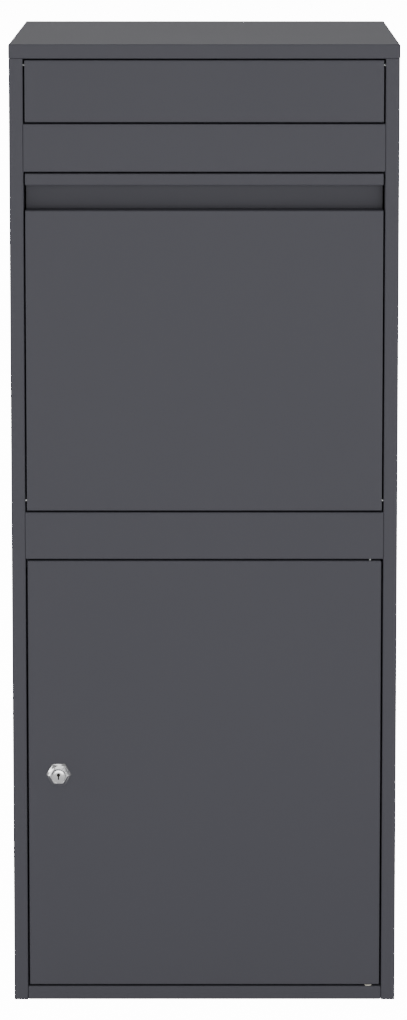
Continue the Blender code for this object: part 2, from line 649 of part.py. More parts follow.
# ---- Parcel hopper: door panel, two cheeks and a tray that tilt out together ----
def parcel_door_panel(pivot):
    """One sheet: bottom return, face, finger trough and the lip that hangs in front of it."""
    trough_low = PARCEL_TOP - LIP_HEIGHT - TROUGH_HEIGHT
    lip_in = FRONT + SHEET
    skin = [(FRONT + DOOR_RETURN, PARCEL_LOW), (FRONT, PARCEL_LOW), (FRONT, trough_low),
            (FRONT + TROUGH_DEPTH, trough_low), (FRONT + TROUGH_DEPTH, PARCEL_TOP - SHEET),
            (lip_in, PARCEL_TOP - SHEET), (lip_in, PARCEL_TOP - LIP_HEIGHT + SHEET),
            (lip_in + LIP_HEM, PARCEL_TOP - LIP_HEIGHT + SHEET)]
    mesh = finish_mesh("parcel_door_panel", folded_across(skin, -1, DOOR_HALF))
    add_object("parcel_door_panel", mesh, POWDER, pivot)


def cheek_outline():
    """Sector about the hinge, with an ear that meets the upper bar's stop at full travel."""
    axis = Vector((HOPPER_AXIS.y, HOPPER_AXIS.z))
    low = PARCEL_LOW + SHEET + TOUCH
    foot = Vector((FRONT + DOOR_RETURN + 2 * TOUCH, low))
    offset = foot - axis
    along = offset.dot(TRAY_DIRECTION)
    reach = -along + math.sqrt(along ** 2 - offset.length_squared + CHEEK_RADIUS ** 2)
    tip = offset + TRAY_DIRECTION * reach
    stop = Vector((UPPER_LEG_Y + SHEET, UPPER_LOW - BAR_LEG)) - axis
    ear_radius = stop.length + EAR_CATCH
    ear_high = math.atan2(stop.y, stop.x) - HOPPER_TRAVEL - EAR_GAP / ear_radius
    ear_low = ear_high - EAR_SPAN
    first = math.atan2(tip.y, tip.x)
    last = math.acos((DOOR_BACK - axis.x) / CHEEK_RADIUS)

    def arc(radius, start, end, steps):
        angles = [start + (end - start) * step / steps for step in range(steps + 1)]
        return [axis + Vector((math.cos(a), math.sin(a))) * radius for a in angles]

    points = [Vector((DOOR_BACK, low + BEND)), Vector((DOOR_BACK + BEND, low)), foot]
    points += arc(CHEEK_RADIUS, first, ear_low - EAR_SPAN / 2, CHEEK_ARC_STEPS)
    points += arc(ear_radius, ear_low, ear_high, 2)
    points += arc(CHEEK_RADIUS, ear_high, last, CHEEK_TOP_STEPS)
    return points


def hopper_cheek(name, side, pivot):
    outline = cheek_outline()
    bm = extrude_outline(outline, lambda p: (side * CHEEK_IN, p.x, p.y), (side * SHEET, 0, 0))
    cheek = add_object(name, finish_mesh(name, bm), POWDER, pivot)
    flange = bmesh.new()
    flange_low = PARCEL_LOW + TRAY_START_UP + TRAY_LEG + BEND
    add_box(flange, (side * (CHEEK_OUT - CHEEK_FLANGE), DOOR_BACK, flange_low),
            (side * (CHEEK_OUT - SHEET / 2), DOOR_BACK + SHEET, outline[-1].y - BEND))
    combine(cheek, "UNION", flange)
    holes = bmesh.new()
    add_rod(holes, (side * (CHEEK_IN - SHEET), HOPPER_AXIS.y, HOPPER_AXIS.z),
            (side * (CHEEK_OUT + SHEET), HOPPER_AXIS.y, HOPPER_AXIS.z), PIN_RADIUS + TOUCH)
    for y, z in tray_rivet_places():
        add_rod(holes, (side * (CHEEK_IN - SHEET), y, z), (side * (CHEEK_OUT + SHEET), y, z),
                RIVET_RADIUS + TOUCH)
    combine(cheek, "DIFFERENCE", holes)


def tray_start():
    return Vector((DOOR_BACK + SHEET, PARCEL_LOW + TRAY_START_UP))


def tray_rivet_places():
    up = left_of(TRAY_DIRECTION) * TRAY_RIVET_UP
    return [tray_start() + TRAY_DIRECTION * along + up for along in TRAY_RIVETS]


def hopper_tray(pivot):
    """Sloping floor of the hopper, riveted to the cheeks through its turned-up edges."""
    start = tray_start()
    upward = left_of(TRAY_DIRECTION)
    end = start + TRAY_DIRECTION * TRAY_LENGTH
    skin = [start + Vector((0, TRAY_LEG)), start, end, end + upward * TRAY_LIP]
    mesh = finish_mesh("hopper_tray", folded_across(skin, -1, TRAY_HALF))
    tray = add_object("hopper_tray", mesh, POWDER, pivot)
    walls = bmesh.new()
    holes = bmesh.new()
    tilt = Matrix.Rotation(-TRAY_SLOPE, 4, "X")
    middle = (start + end) / 2 + upward * (TRAY_WALL - SHEET / 2) / 2
    size = Vector((SHEET, TRAY_LENGTH - 2 * TRAY_WALL_INSET, TRAY_WALL + SHEET / 2)) / 2
    for side in (-1, 1):
        centre = Vector((side * (TRAY_HALF - SHEET / 2), middle.x, middle.y))
        add_box(walls, centre - size, centre + size, tilt)
        for y, z in tray_rivet_places():
            add_rod(holes, (side * (TRAY_HALF - 2 * SHEET), y, z), (side * (TRAY_HALF + SHEET), y, z),
                    RIVET_RADIUS + TOUCH)
    combine(tray, "UNION", walls)
    combine(tray, "DIFFERENCE", holes)


def parcel_hopper():
    pivot = pivot_empty("parcel_hopper_axis", HOPPER_AXIS)
    parcel_door_panel(pivot)
    hopper_tray(pivot)
    pin = pin_mesh("hopper_pin", OPEN_HALF + SHEET + PIN_TAIL - (CHEEK_IN - TOUCH - PIN_HEAD))
    rivet = rivet_mesh("tray_rivet", 2 * SHEET + TOUCH)
    for label, side in (("left", -1), ("right", 1)):
        hopper_cheek(f"hopper_{label}_cheek", side, pivot)
        head = (side * (CHEEK_IN - TOUCH - PIN_HEAD), HOPPER_AXIS.y, HOPPER_AXIS.z)
        place_copy(f"hopper_pin_{label}", pin, head, Vector((side, 0, 0)), pivot)
        for number, (y, z) in enumerate(tray_rivet_places(), 1):
            foot = side * (TRAY_HALF - SHEET - TOUCH - RIVET_HEAD)
            rivet_name = f"tray_rivet_{label}_{number}"
            place_copy(rivet_name, rivet, (foot, y, z), Vector((side, 0, 0)), pivot)


# ---- Lower door: hinged on the right, locked on the left ----
def lower_door():
    pivot = pivot_empty("lower_door_axis", LOWER_AXIS)
    outline = [(-DOOR_HALF, LOWER_LOW), (DOOR_HALF, LOWER_LOW), (DOOR_HALF, LOWER_TOP),
               (-DOOR_HALF, LOWER_TOP)]
    bm = folded_pan(outline, DOOR_RETURN, BASE_RETURN, lambda p, h: (p.x, FRONT + h, p.y))
    door = add_object("lower_door_panel", finish_mesh("lower_door_panel", bm), POWDER, pivot)
    holes = bmesh.new()
    x, y = LOWER_AXIS.xy
    for z in (LOWER_LOW, LOWER_TOP):
        add_rod(holes, (x, y, z - 2 * SHEET), (x, y, z + 2 * SHEET), PIN_RADIUS + TOUCH)
    add_rod(holes, LOCK_AXIS - Vector((0, SHEET, 0)), LOCK_AXIS + Vector((0, 2 * SHEET, 0)),
            LOCK_SLEEVE_RADIUS + TOUCH, LOCK_SEGMENTS)
    combine(door, "DIFFERENCE", holes)

    pin = pin_mesh("lower_door_pin", PIN_HEAD + TOUCH + SHEET + REVEAL + SHEET + PIN_TAIL)
    head_in = SHEET + TOUCH + PIN_HEAD
    place_copy("lower_door_pin_top", pin, (x, y, LOWER_TOP - head_in), Vector((0, 0, 1)), pivot)
    place_copy("lower_door_pin_bottom", pin, (x, y, LOWER_LOW + head_in), Vector((0, 0, -1)), pivot)
    section = ring_points(PIN_RADIUS + TOUCH, WASHER_RADIUS, REVEAL - 2 * TOUCH)
    washer = make_fastener("hinge_washer", section, PIN_SEGMENTS, NYLON, ring=True)
    place_copy("hinge_washer", washer, (x, y, BASE_RIM + TOUCH))
    return pivot


# ---- Cam lock: collar, washer and nut stay on the door, plug and cam turn ----
def door_lock(door_pivot):
    outward = Vector((0, -1, 0))
    bore = LOCK_PLUG_RADIUS + TOUCH
    section = [(bore, -LOCK_SLEEVE, False), (LOCK_SLEEVE_RADIUS, -LOCK_SLEEVE, False),
               (LOCK_SLEEVE_RADIUS, TOUCH, False), (LOCK_FLATS / 2, TOUCH, True),
               (LOCK_FLATS / 2, LOCK_SKIRT, True), (LOCK_FRONT_FLATS / 2, LOCK_COLLAR, True),
               (LOCK_HEAD_RADIUS + TOUCH, LOCK_COLLAR, False),
               (LOCK_HEAD_RADIUS + TOUCH, LOCK_HEAD_SEAT, False), (bore, LOCK_HEAD_SEAT, False)]
    housing = make_fastener("lock_housing", section, LOCK_SEGMENTS, CHROME, ring=True)
    place_copy("lock_housing", housing, LOCK_AXIS, outward, door_pivot)

    inside = FRONT + SHEET + TOUCH
    hole = LOCK_SLEEVE_RADIUS + TOUCH
    section = ring_points(hole, *LOCK_WASHER)
    washer = make_fastener("lock_washer", section, NUT_SEGMENTS, ZINC, ring=True)
    place_copy("lock_washer", washer, (LOCK_AXIS.x, inside, LOCK_AXIS.z), -outward, door_pivot)
    section = ring_points(hole, LOCK_NUT[0] / 2, LOCK_NUT[1], hexagonal=True)
    nut = make_fastener("lock_nut", section, NUT_SEGMENTS, ZINC, ring=True)
    place = (LOCK_AXIS.x, inside + LOCK_WASHER[1] + TOUCH, LOCK_AXIS.z)
    place_copy("lock_nut", nut, place, -outward, door_pivot)

    pivot = pivot_empty("lock_axis", LOCK_AXIS)
    pivot.parent = door_pivot
    pivot.location = LOCK_AXIS - door_pivot.location
    cam_front = LOCK_SLEEVE + 2 * TOUCH
    stub_end = cam_front + CAM_THICK + CAM_NUT[1] + 2 * TOUCH + STUD_TAIL
    section = [(LOCK_STUB_RADIUS, -stub_end), (LOCK_STUB_RADIUS, TOUCH - cam_front),
               (LOCK_PLUG_RADIUS, TOUCH - cam_front), (LOCK_PLUG_RADIUS, LOCK_HEAD_SEAT + TOUCH),
               (LOCK_HEAD_RADIUS, LOCK_HEAD_SEAT + TOUCH), (LOCK_HEAD_RADIUS, LOCK_HEAD_FRONT)]
    plug = make_fastener("lock_plug", round_points(section), LOCK_SEGMENTS, CHROME)
    cylinder = place_copy("lock_plug", plug, (0, 0, 0), outward)
    slot = bmesh.new()
    half, tall, deep = KEYHOLE[0] / 2, KEYHOLE[1] / 2, KEYHOLE[2]
    face = FRONT - LOCK_HEAD_FRONT
    add_box(slot, (LOCK_AXIS.x - half, face - deep, LOCK_AXIS.z - tall),
            (LOCK_AXIS.x + half, face + deep, LOCK_AXIS.z + tall))
    combine(cylinder, "DIFFERENCE", slot)
    cylinder.parent = pivot

    angles = [math.pi * step / CAM_STEPS for step in range(CAM_STEPS + 1)]
    points = [Vector((math.cos(angle), math.sin(angle))) * CAM_WIDTH / 2 for angle in angles]
    tip = CAM_REACH - CAM_WIDTH / 4
    points += [Vector((-CAM_WIDTH / 2, -tip)), Vector((-CAM_WIDTH / 4, -CAM_REACH)),
               Vector((CAM_WIDTH / 4, -CAM_REACH)), Vector((CAM_WIDTH / 2, -tip))]
    cam_y = FRONT + cam_front
    bm = extrude_outline(points, lambda p: (LOCK_AXIS.x + p.x, cam_y, LOCK_AXIS.z + p.y),
                         (0, CAM_THICK, 0))
    cam = add_object("lock_cam", finish_mesh("lock_cam", bm), ZINC)
    hole = bmesh.new()
    add_rod(hole, (LOCK_AXIS.x, cam_y - SHEET, LOCK_AXIS.z),
            (LOCK_AXIS.x, cam_y + CAM_THICK + SHEET, LOCK_AXIS.z), LOCK_STUB_RADIUS + TOUCH)
    combine(cam, "DIFFERENCE", hole)
    cam.parent = pivot
    cam.location = -LOCK_AXIS
    section = ring_points(LOCK_STUB_RADIUS + TOUCH, CAM_NUT[0] / 2, CAM_NUT[1], hexagonal=True)
    nut = make_fastener("lock_cam_nut", section, SMALL_SEGMENTS, ZINC, ring=True)
    cam_nut = place_copy("lock_cam_nut", nut, (0, cam_front + CAM_THICK + TOUCH, 0), -outward)
    cam_nut.parent = pivot


side_panel("left_side_panel", -1)
side_panel("right_side_panel", 1)
back_panel()
roof_cap()
base_pan()
crossbar("upper_crossbar", UPPER_LOW, UPPER_TOP, UPPER_BAR_FLANGE, UPPER_LEG_Y)
bar_bumpers("hopper", UPPER_LEG_Y, UPPER_LOW)
middle_bar = crossbar("middle_crossbar", MIDDLE_LOW, MIDDLE_TOP, MIDDLE_BAR_FLANGE, MIDDLE_LEG_Y)
bar_bumpers("lower_door", MIDDLE_LEG_Y, MIDDLE_LOW)
cuts = bmesh.new()
add_box(cuts, (OPEN_HALF - STOP_NOTCH, MIDDLE_LEG_Y - BEND, MIDDLE_LOW - 2 * BAR_LEG),
        (OPEN_HALF, MIDDLE_LEG_Y + 2 * SHEET, MIDDLE_LOW + 2 * SHEET))
add_rod(cuts, (LOWER_AXIS.x, LOWER_AXIS.y, MIDDLE_LOW - SHEET),
        (LOWER_AXIS.x, LOWER_AXIS.y, MIDDLE_LOW + 2 * SHEET), PIN_RADIUS + TOUCH)
combine(middle_bar, "DIFFERENCE", cuts)
letter_chute()
parcel_guard()
shell_nuts()
letter_flap()
parcel_hopper()
door_lock(lower_door())
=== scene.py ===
import math

import bmesh
import bpy
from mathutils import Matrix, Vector


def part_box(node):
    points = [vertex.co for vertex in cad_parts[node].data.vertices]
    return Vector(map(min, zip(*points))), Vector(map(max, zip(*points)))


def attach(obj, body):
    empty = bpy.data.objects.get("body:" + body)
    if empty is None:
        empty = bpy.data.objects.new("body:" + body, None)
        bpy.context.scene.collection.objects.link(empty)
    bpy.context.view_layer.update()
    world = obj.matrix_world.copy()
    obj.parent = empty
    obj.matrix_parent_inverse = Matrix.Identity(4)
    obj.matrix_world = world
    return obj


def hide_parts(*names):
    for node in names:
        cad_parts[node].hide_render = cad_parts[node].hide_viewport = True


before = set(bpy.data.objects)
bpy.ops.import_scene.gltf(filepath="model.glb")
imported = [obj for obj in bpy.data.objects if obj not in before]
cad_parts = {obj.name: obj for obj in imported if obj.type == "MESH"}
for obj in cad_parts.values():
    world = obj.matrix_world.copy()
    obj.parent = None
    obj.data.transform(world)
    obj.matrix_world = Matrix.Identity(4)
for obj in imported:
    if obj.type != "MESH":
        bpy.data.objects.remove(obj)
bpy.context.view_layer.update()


# ---- Studio ----
# White paper under even, soft light: a large panel in front, one overhead, weaker ones at the
# sides, behind and low in front. The paper glows for the camera only, and not under the box.
FLOOR_SIZE = 30.0
FOOTPRINT = (0.190, 0.175)
FLOOR_BOUNCE = 0.16
FLOOR_WHITE = 14.0
SKY_LIGHT = 0.28
SKY_WHITE = 14.0
CAMERA_PLACE = (0.0088, -4.104, 1.3056)
CAMERA_PITCH = math.radians(6.93)
CAMERA_LENS = 132.5
CAMERA_SHIFT = (-0.009, -0.27)

camera_data = bpy.data.cameras.new("studio_camera")
camera_data.lens = CAMERA_LENS
camera_data.shift_x, camera_data.shift_y = CAMERA_SHIFT
camera = bpy.data.objects.new("studio_camera", camera_data)
camera.location = CAMERA_PLACE
camera.rotation_euler = (math.pi / 2 - CAMERA_PITCH, 0, 0)
bpy.context.scene.collection.objects.link(camera)
bpy.context.scene.camera = camera

bpy.ops.object.select_all(action="DESELECT")
bpy.ops.mesh.primitive_plane_add(size=FLOOR_SIZE, location=(0, 0, 0))
floor = bpy.context.object
floor.name = "studio_floor"
paper = bpy.data.materials.new("studio_paper")
paper.use_nodes = True
paper_shader = paper.node_tree.nodes["Principled BSDF"]
paper_shader.inputs["Base Color"].default_value = (0.86, 0.86, 0.86, 1)
paper_shader.inputs["Roughness"].default_value = 0.9
paper_shader.inputs["Emission Color"].default_value = (1, 1, 1, 1)
seen = paper.node_tree.nodes.new("ShaderNodeLightPath")
glow = paper.node_tree.nodes.new("ShaderNodeMapRange")
glow.inputs["To Min"].default_value = FLOOR_BOUNCE
glow.inputs["To Max"].default_value = FLOOR_WHITE
paper.node_tree.links.new(seen.outputs["Is Camera Ray"], glow.inputs["Value"])
under = paper.node_tree.nodes.new("ShaderNodeTexCoord")
apart = paper.node_tree.nodes.new("ShaderNodeSeparateXYZ")
paper.node_tree.links.new(under.outputs["Object"], apart.inputs["Vector"])
masks = []
for axis, limit in (("X", FOOTPRINT[0]), ("Y", FOOTPRINT[1])):
    distance = paper.node_tree.nodes.new("ShaderNodeMath")
    distance.operation = "ABSOLUTE"
    beyond = paper.node_tree.nodes.new("ShaderNodeMath")
    beyond.operation = "GREATER_THAN"
    beyond.inputs[1].default_value = limit
    paper.node_tree.links.new(apart.outputs[axis], distance.inputs[0])
    paper.node_tree.links.new(distance.outputs["Value"], beyond.inputs[0])
    masks.append(beyond)
clear = paper.node_tree.nodes.new("ShaderNodeMath")
clear.operation = "MAXIMUM"
shaded = paper.node_tree.nodes.new("ShaderNodeMath")
shaded.operation = "MULTIPLY"
for start, end in ((masks[0].outputs["Value"], clear.inputs[0]),
                   (masks[1].outputs["Value"], clear.inputs[1]),
                   (clear.outputs["Value"], shaded.inputs[0]),
                   (glow.outputs["Result"], shaded.inputs[1]),
                   (shaded.outputs["Value"], paper_shader.inputs["Emission Strength"])):
    paper.node_tree.links.new(start, end)
floor.data.materials.append(paper)

world = bpy.data.worlds.new("studio_world")
world.use_nodes = True
sky = world.node_tree.nodes["Background"]
sky.inputs["Color"].default_value = (1, 1, 1, 1)
seen = world.node_tree.nodes.new("ShaderNodeLightPath")
glow = world.node_tree.nodes.new("ShaderNodeMapRange")
glow.inputs["To Min"].default_value = SKY_LIGHT
glow.inputs["To Max"].default_value = SKY_WHITE
world.node_tree.links.new(seen.outputs["Is Camera Ray"], glow.inputs["Value"])
world.node_tree.links.new(glow.outputs["Result"], sky.inputs["Strength"])
bpy.context.scene.world = world

for name, place, size, power in (("front_panel", (0.3, -4.8, 0.2), 4.0, 152),
                                 ("top_panel", (0, -1.0, 4.0), 2.0, 18.5),
                                 ("left_panel", (-4.2, -0.3, 1.3), 1.8, 40),
                                 ("right_panel", (4.2, -0.3, 1.3), 1.8, 40),
                                 ("rear_panel", (0, 4.2, 3.8), 2.6, 34),
                                 ("low_panel", (0, -2.6, 0.14), 0.9, 3.4)):
    light_data = bpy.data.lights.new(name, "AREA")
    light_data.shape = "SQUARE"
    light_data.size = size
    light_data.energy = power
    light = bpy.data.objects.new(name, light_data)
    light.location = place
    light.rotation_euler = (Vector((0, 0, 0.5)) - light.location).to_track_quat("-Z", "Y").to_euler()
    bpy.context.scene.collection.objects.link(light)


# ---- Roof cap ----
# A steel sheet folded down into a 15 mm skirt on all four sides, its corners welded and ground
# round, with a return lip inside that is bolted to the side panels, then powder coated.
SHEET = 0.0010
FOLD = 0.0015
FOLD_STEPS = 6
CUT_EDGE = 0.00012
SAME_PLACE = 2e-5
FLATTEST_FOLD = math.radians(20)
SHARPEST_ROUND = math.radians(35)
CUT_ANGLE = math.radians(50)
STUD_RADIUS = 0.0025
STUD_CHAMFER = 0.0004
ROOF_SKIRT = 0.01525
ROOF_RETURN = 0.014
SMALL_VERTICES = 24
POWDER_COLOUR = (0.0775, 0.0770, 0.0925)
DUST_COLOUR = (0.24, 0.25, 0.31)


def near(value, target):
    return abs(value - target) < SAME_PLACE


def flat_sheet(name, low, high, turn):
    """A sheet between two corners that share one coordinate, turned to face outwards."""
    low, high = Vector(low), Vector(high)
    bpy.ops.object.select_all(action="DESELECT")
    bpy.ops.mesh.primitive_plane_add(size=1, location=(low + high) / 2, rotation=turn)
    piece = bpy.context.object
    piece.name = piece.data.name = name
    span = piece.matrix_world.to_3x3().inverted() @ (high - low)
    piece.scale = (abs(span.x), abs(span.y), 1)
    bpy.ops.object.transform_apply(location=True, rotation=True, scale=True)
    bpy.ops.object.mode_set(mode="EDIT")
    bpy.ops.mesh.select_mode(type="EDGE")
    return piece


FACING_UP = (0, 0, 0)
FACING_DOWN = (math.pi, 0, 0)
FACING_FRONT = (math.pi / 2, 0, 0)
FACING_REAR = (-math.pi / 2, 0, 0)
FACING_RIGHT = (0, math.pi / 2, 0)
FACING_LEFT = (0, -math.pi / 2, 0)


def select_edges(chosen):
    """Selects the edges of the edited piece that pass a test."""
    bpy.ops.mesh.select_all(action="DESELECT")
    mesh = bpy.context.object.data
    shape = bmesh.from_edit_mesh(mesh)
    for edge in shape.edges:
        if chosen(edge):
            edge.select_set(True)
    bmesh.update_edit_mesh(mesh)


def ends(edge, test):
    return all(test(vert.co) for vert in edge.verts)


def fold_on(test, step):
    """Folds the sheet on: pulls new material from the rim edges whose ends pass the test."""
    select_edges(lambda edge: edge.is_boundary and ends(edge, test))
    bpy.ops.mesh.extrude_edges_move(TRANSFORM_OT_translate={"value": step})


def fold_pan(rise, at_rim, lip):
    """Folds a rim up all round a sheet, then a mitred return lip inwards from the rim."""
    bpy.ops.mesh.select_all(action="SELECT")
    bpy.ops.mesh.extrude_region_move(TRANSFORM_OT_translate={"value": rise})
    bpy.ops.mesh.select_all(action="SELECT")
    bpy.ops.mesh.normals_make_consistent(inside=False)
    bpy.ops.mesh.select_mode(type="FACE")
    bpy.ops.mesh.select_all(action="DESELECT")
    shape = bmesh.from_edit_mesh(bpy.context.object.data)
    for face in shape.faces:
        if all(at_rim(vert.co) for vert in face.verts):
            face.select_set(True)
    bmesh.update_edit_mesh(bpy.context.object.data)
    bpy.ops.mesh.inset(thickness=lip, use_boundary=True, use_even_offset=True)
    bpy.ops.mesh.delete(type="FACE")
    bpy.ops.mesh.select_mode(type="EDGE")


def round_folds():
    """Rounds every fold that isn't round yet, by a sheet's thickness less on its inside."""
    for convex, radius in ((True, FOLD), (False, FOLD - SHEET)):
        select_edges(lambda edge: len(edge.link_faces) == 2 and edge.calc_face_angle(0) > FLATTEST_FOLD
                     and edge.is_convex == convex)
        if any(edge.select for edge in bmesh.from_edit_mesh(bpy.context.object.data).edges):
            bpy.ops.mesh.bevel(offset=radius, segments=FOLD_STEPS, affect="EDGES")


def thicken():
    """Leaves edit mode and gives the sheet its thickness."""
    bpy.ops.object.mode_set(mode="OBJECT")
    piece = bpy.context.object
    solid = piece.modifiers.new("thickness", "SOLIDIFY")
    solid.thickness = SHEET
    solid.offset = -1
    solid.use_even_offset = True
    bpy.ops.object.modifier_apply(modifier=solid.name)
    return piece


def break_edges(piece, width=CUT_EDGE):
    """Takes the sharpness off cut edges and keeps the broad faces flat."""
    bpy.ops.object.select_all(action="DESELECT")
    piece.select_set(True)
    bpy.context.view_layer.objects.active = piece
    edge = piece.modifiers.new("cut_edges", "BEVEL")
    edge.width = width
    edge.segments = 2
    edge.limit_method = "ANGLE"
    edge.angle_limit = CUT_ANGLE
    bpy.ops.object.modifier_apply(modifier=edge.name)
    bpy.ops.object.shade_smooth_by_angle(angle=SHARPEST_ROUND)
    flat = piece.modifiers.new("flat_faces", "WEIGHTED_NORMAL")
    flat.keep_sharp = True
    flat.weight = 100
    bpy.ops.object.modifier_apply(modifier=flat.name)


def rod(name, start, end, radius, vertices=32):
    """A plain round bar between two points, used as a cutter or as the start of a turned piece."""
    start, end = Vector(start), Vector(end)
    run = end - start
    bpy.ops.object.select_all(action="DESELECT")
    bpy.ops.mesh.primitive_cylinder_add(vertices=vertices, radius=radius, depth=run.length,
                                        location=(start + end) / 2,
                                        rotation=run.to_track_quat("Z", "Y").to_euler())
    made = bpy.context.object
    made.name = made.data.name = name
    bpy.ops.object.transform_apply(location=True, rotation=True, scale=True)
    return made


def cut(piece, cutter):
    """Cuts one shape out of a piece and takes the cutter away."""
    bpy.ops.object.select_all(action="DESELECT")
    piece.select_set(True)
    bpy.context.view_layer.objects.active = piece
    step = piece.modifiers.new("cut", "BOOLEAN")
    step.operation = "DIFFERENCE"
    step.object = cutter
    bpy.ops.object.modifier_apply(modifier=step.name)
    bpy.data.objects.remove(cutter, do_unlink=True)


def join_on(piece, extras):
    """Joins welded-on shapes to a piece."""
    bpy.ops.object.select_all(action="DESELECT")
    for extra in extras:
        extra.select_set(True)
    piece.select_set(True)
    bpy.context.view_layer.objects.active = piece
    bpy.ops.object.join()


def stand_for(piece, finish, body, *nodes):
    """Gives a finished piece its finish and body, in place of the nodes it stands for."""
    if not piece.data.materials:
        piece.data.materials.append(finish)
    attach(piece, body)
    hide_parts(*nodes)


def node_group(name, inputs, outputs):
    """A shader group with float inputs and their defaults, and float outputs."""
    group = bpy.data.node_groups.new(name, "ShaderNodeTree")
    for label, default in inputs:
        socket = group.interface.new_socket(name=label, in_out="INPUT", socket_type="NodeSocketFloat")
        socket.default_value = default
    for label in outputs:
        group.interface.new_socket(name=label, in_out="OUTPUT", socket_type="NodeSocketFloat")
    return group, group.nodes.new("NodeGroupInput"), group.nodes.new("NodeGroupOutput")


# Surface variation that every finish shares: a fine grain, a slow cloud across the piece and a
# film of dust on faces that look up.
surface, surface_in, surface_out = node_group(
    "surface_variation", (("Grain Scale", 900.0), ("Cloud Scale", 5.0), ("Dust", 0.3)),
    ("Grain", "Cloud", "Dust Mask"))
place = surface.nodes.new("ShaderNodeTexCoord")
grain = surface.nodes.new("ShaderNodeTexNoise")
grain.inputs["Detail"].default_value = 3.0
cloud = surface.nodes.new("ShaderNodeTexNoise")
cloud.inputs["Detail"].default_value = 4.0
geometry = surface.nodes.new("ShaderNodeNewGeometry")
facing = surface.nodes.new("ShaderNodeSeparateXYZ")
upward = surface.nodes.new("ShaderNodeMapRange")
upward.inputs["From Min"].default_value = 0.35
upward.inputs["From Max"].default_value = 1.0
patches = surface.nodes.new("ShaderNodeMath")
patches.operation = "MULTIPLY"
amount = surface.nodes.new("ShaderNodeMath")
amount.operation = "MULTIPLY"
for start, end in ((place.outputs["Object"], grain.inputs["Vector"]),
                   (place.outputs["Object"], cloud.inputs["Vector"]),
                   (surface_in.outputs["Grain Scale"], grain.inputs["Scale"]),
                   (surface_in.outputs["Cloud Scale"], cloud.inputs["Scale"]),
                   (geometry.outputs["Normal"], facing.inputs["Vector"]),
                   (facing.outputs["Z"], upward.inputs["Value"]),
                   (upward.outputs["Result"], patches.inputs[0]),
                   (cloud.outputs["Fac"], patches.inputs[1]),
                   (patches.outputs["Value"], amount.inputs[0]),
                   (surface_in.outputs["Dust"], amount.inputs[1]),
                   (grain.outputs["Fac"], surface_out.inputs["Grain"]),
                   (cloud.outputs["Fac"], surface_out.inputs["Cloud"]),
                   (amount.outputs["Value"], surface_out.inputs["Dust Mask"])):
    surface.links.new(start, end)


def finish_material(name, colour, tint, roughness, metallic, gloss, grain_scale, grain_depth, dust):
    """A finish whose colour drifts to a tint, with grain in its height and its roughness."""
    made = bpy.data.materials.new(name)
    made.use_nodes = True
    nodes, links = made.node_tree.nodes, made.node_tree.links
    shader = nodes["Principled BSDF"]
    shader.inputs["Metallic"].default_value = metallic
    shader.inputs["Specular IOR Level"].default_value = gloss
    variation = nodes.new("ShaderNodeGroup")
    variation.node_tree = surface
    variation.inputs["Grain Scale"].default_value = grain_scale
    variation.inputs["Dust"].default_value = dust
    drift = nodes.new("ShaderNodeMix")
    drift.data_type = "RGBA"
    drift.inputs["A"].default_value = (*colour, 1)
    drift.inputs["B"].default_value = (*tint, 1)
    dusty = nodes.new("ShaderNodeMix")
    dusty.data_type = "RGBA"
    dusty.inputs["B"].default_value = (*DUST_COLOUR, 1)
    rough = nodes.new("ShaderNodeMapRange")
    rough.inputs["To Min"].default_value = roughness[0]
    rough.inputs["To Max"].default_value = roughness[1]
    bump = nodes.new("ShaderNodeBump")
    bump.inputs["Strength"].default_value = 0.5
    bump.inputs["Distance"].default_value = grain_depth
    links.new(variation.outputs["Cloud"], drift.inputs["Factor"])
    links.new(drift.outputs["Result"], dusty.inputs["A"])
    links.new(variation.outputs["Dust Mask"], dusty.inputs["Factor"])
    links.new(dusty.outputs["Result"], shader.inputs["Base Color"])
    links.new(variation.outputs["Grain"], rough.inputs["Value"])
    links.new(rough.outputs["Result"], shader.inputs["Roughness"])
    links.new(variation.outputs["Grain"], bump.inputs["Height"])
    links.new(bump.outputs["Normal"], shader.inputs["Normal"])
    return made


powder = finish_material("anthracite_powder_coat", POWDER_COLOUR, tint=(0.0735, 0.0732, 0.0885),
                         roughness=(0.50, 0.66), metallic=0.0, gloss=0.30, grain_scale=900.0,
                         grain_depth=0.00004, dust=0.10)
zinc = finish_material("bright_zinc_plate", (0.50, 0.51, 0.50), tint=(0.40, 0.41, 0.42),
                       roughness=(0.34, 0.50), metallic=1.0, gloss=0.5, grain_scale=600.0,
                       grain_depth=0.00002, dust=0.0)

roof_low, roof_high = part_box("roof_cap")
WIDTH = roof_high.x - roof_low.x
BACK = roof_high.y
skirt_low = roof_high.z - ROOF_SKIRT

roof = flat_sheet("roof_cap_folded", (roof_low.x, roof_low.y, roof_high.z), roof_high, FACING_UP)
fold_pan((0, 0, -ROOF_SKIRT), lambda co: near(co.z, skirt_low), ROOF_RETURN)
round_folds()
roof = thicken()


def welded_studs(name, places, direction, length):
    """Short studs with chamfered ends, whose foot is sunk in the sheet they are welded to."""
    studs = []
    for start in places:
        start = Vector(start)
        end = start + Vector(direction) * length
        stud = rod(name, start, end, STUD_RADIUS, SMALL_VERTICES)
        bpy.ops.object.mode_set(mode="EDIT")
        bpy.ops.mesh.select_all(action="SELECT")
        bpy.ops.mesh.bevel(offset=STUD_CHAMFER, segments=1, affect="EDGES", clamp_overlap=True)
        bpy.ops.object.mode_set(mode="OBJECT")
        bpy.ops.object.shade_smooth_by_angle(angle=SHARPEST_ROUND)
        stud.data.materials.append(zinc)
        studs.append(stud)
    return studs


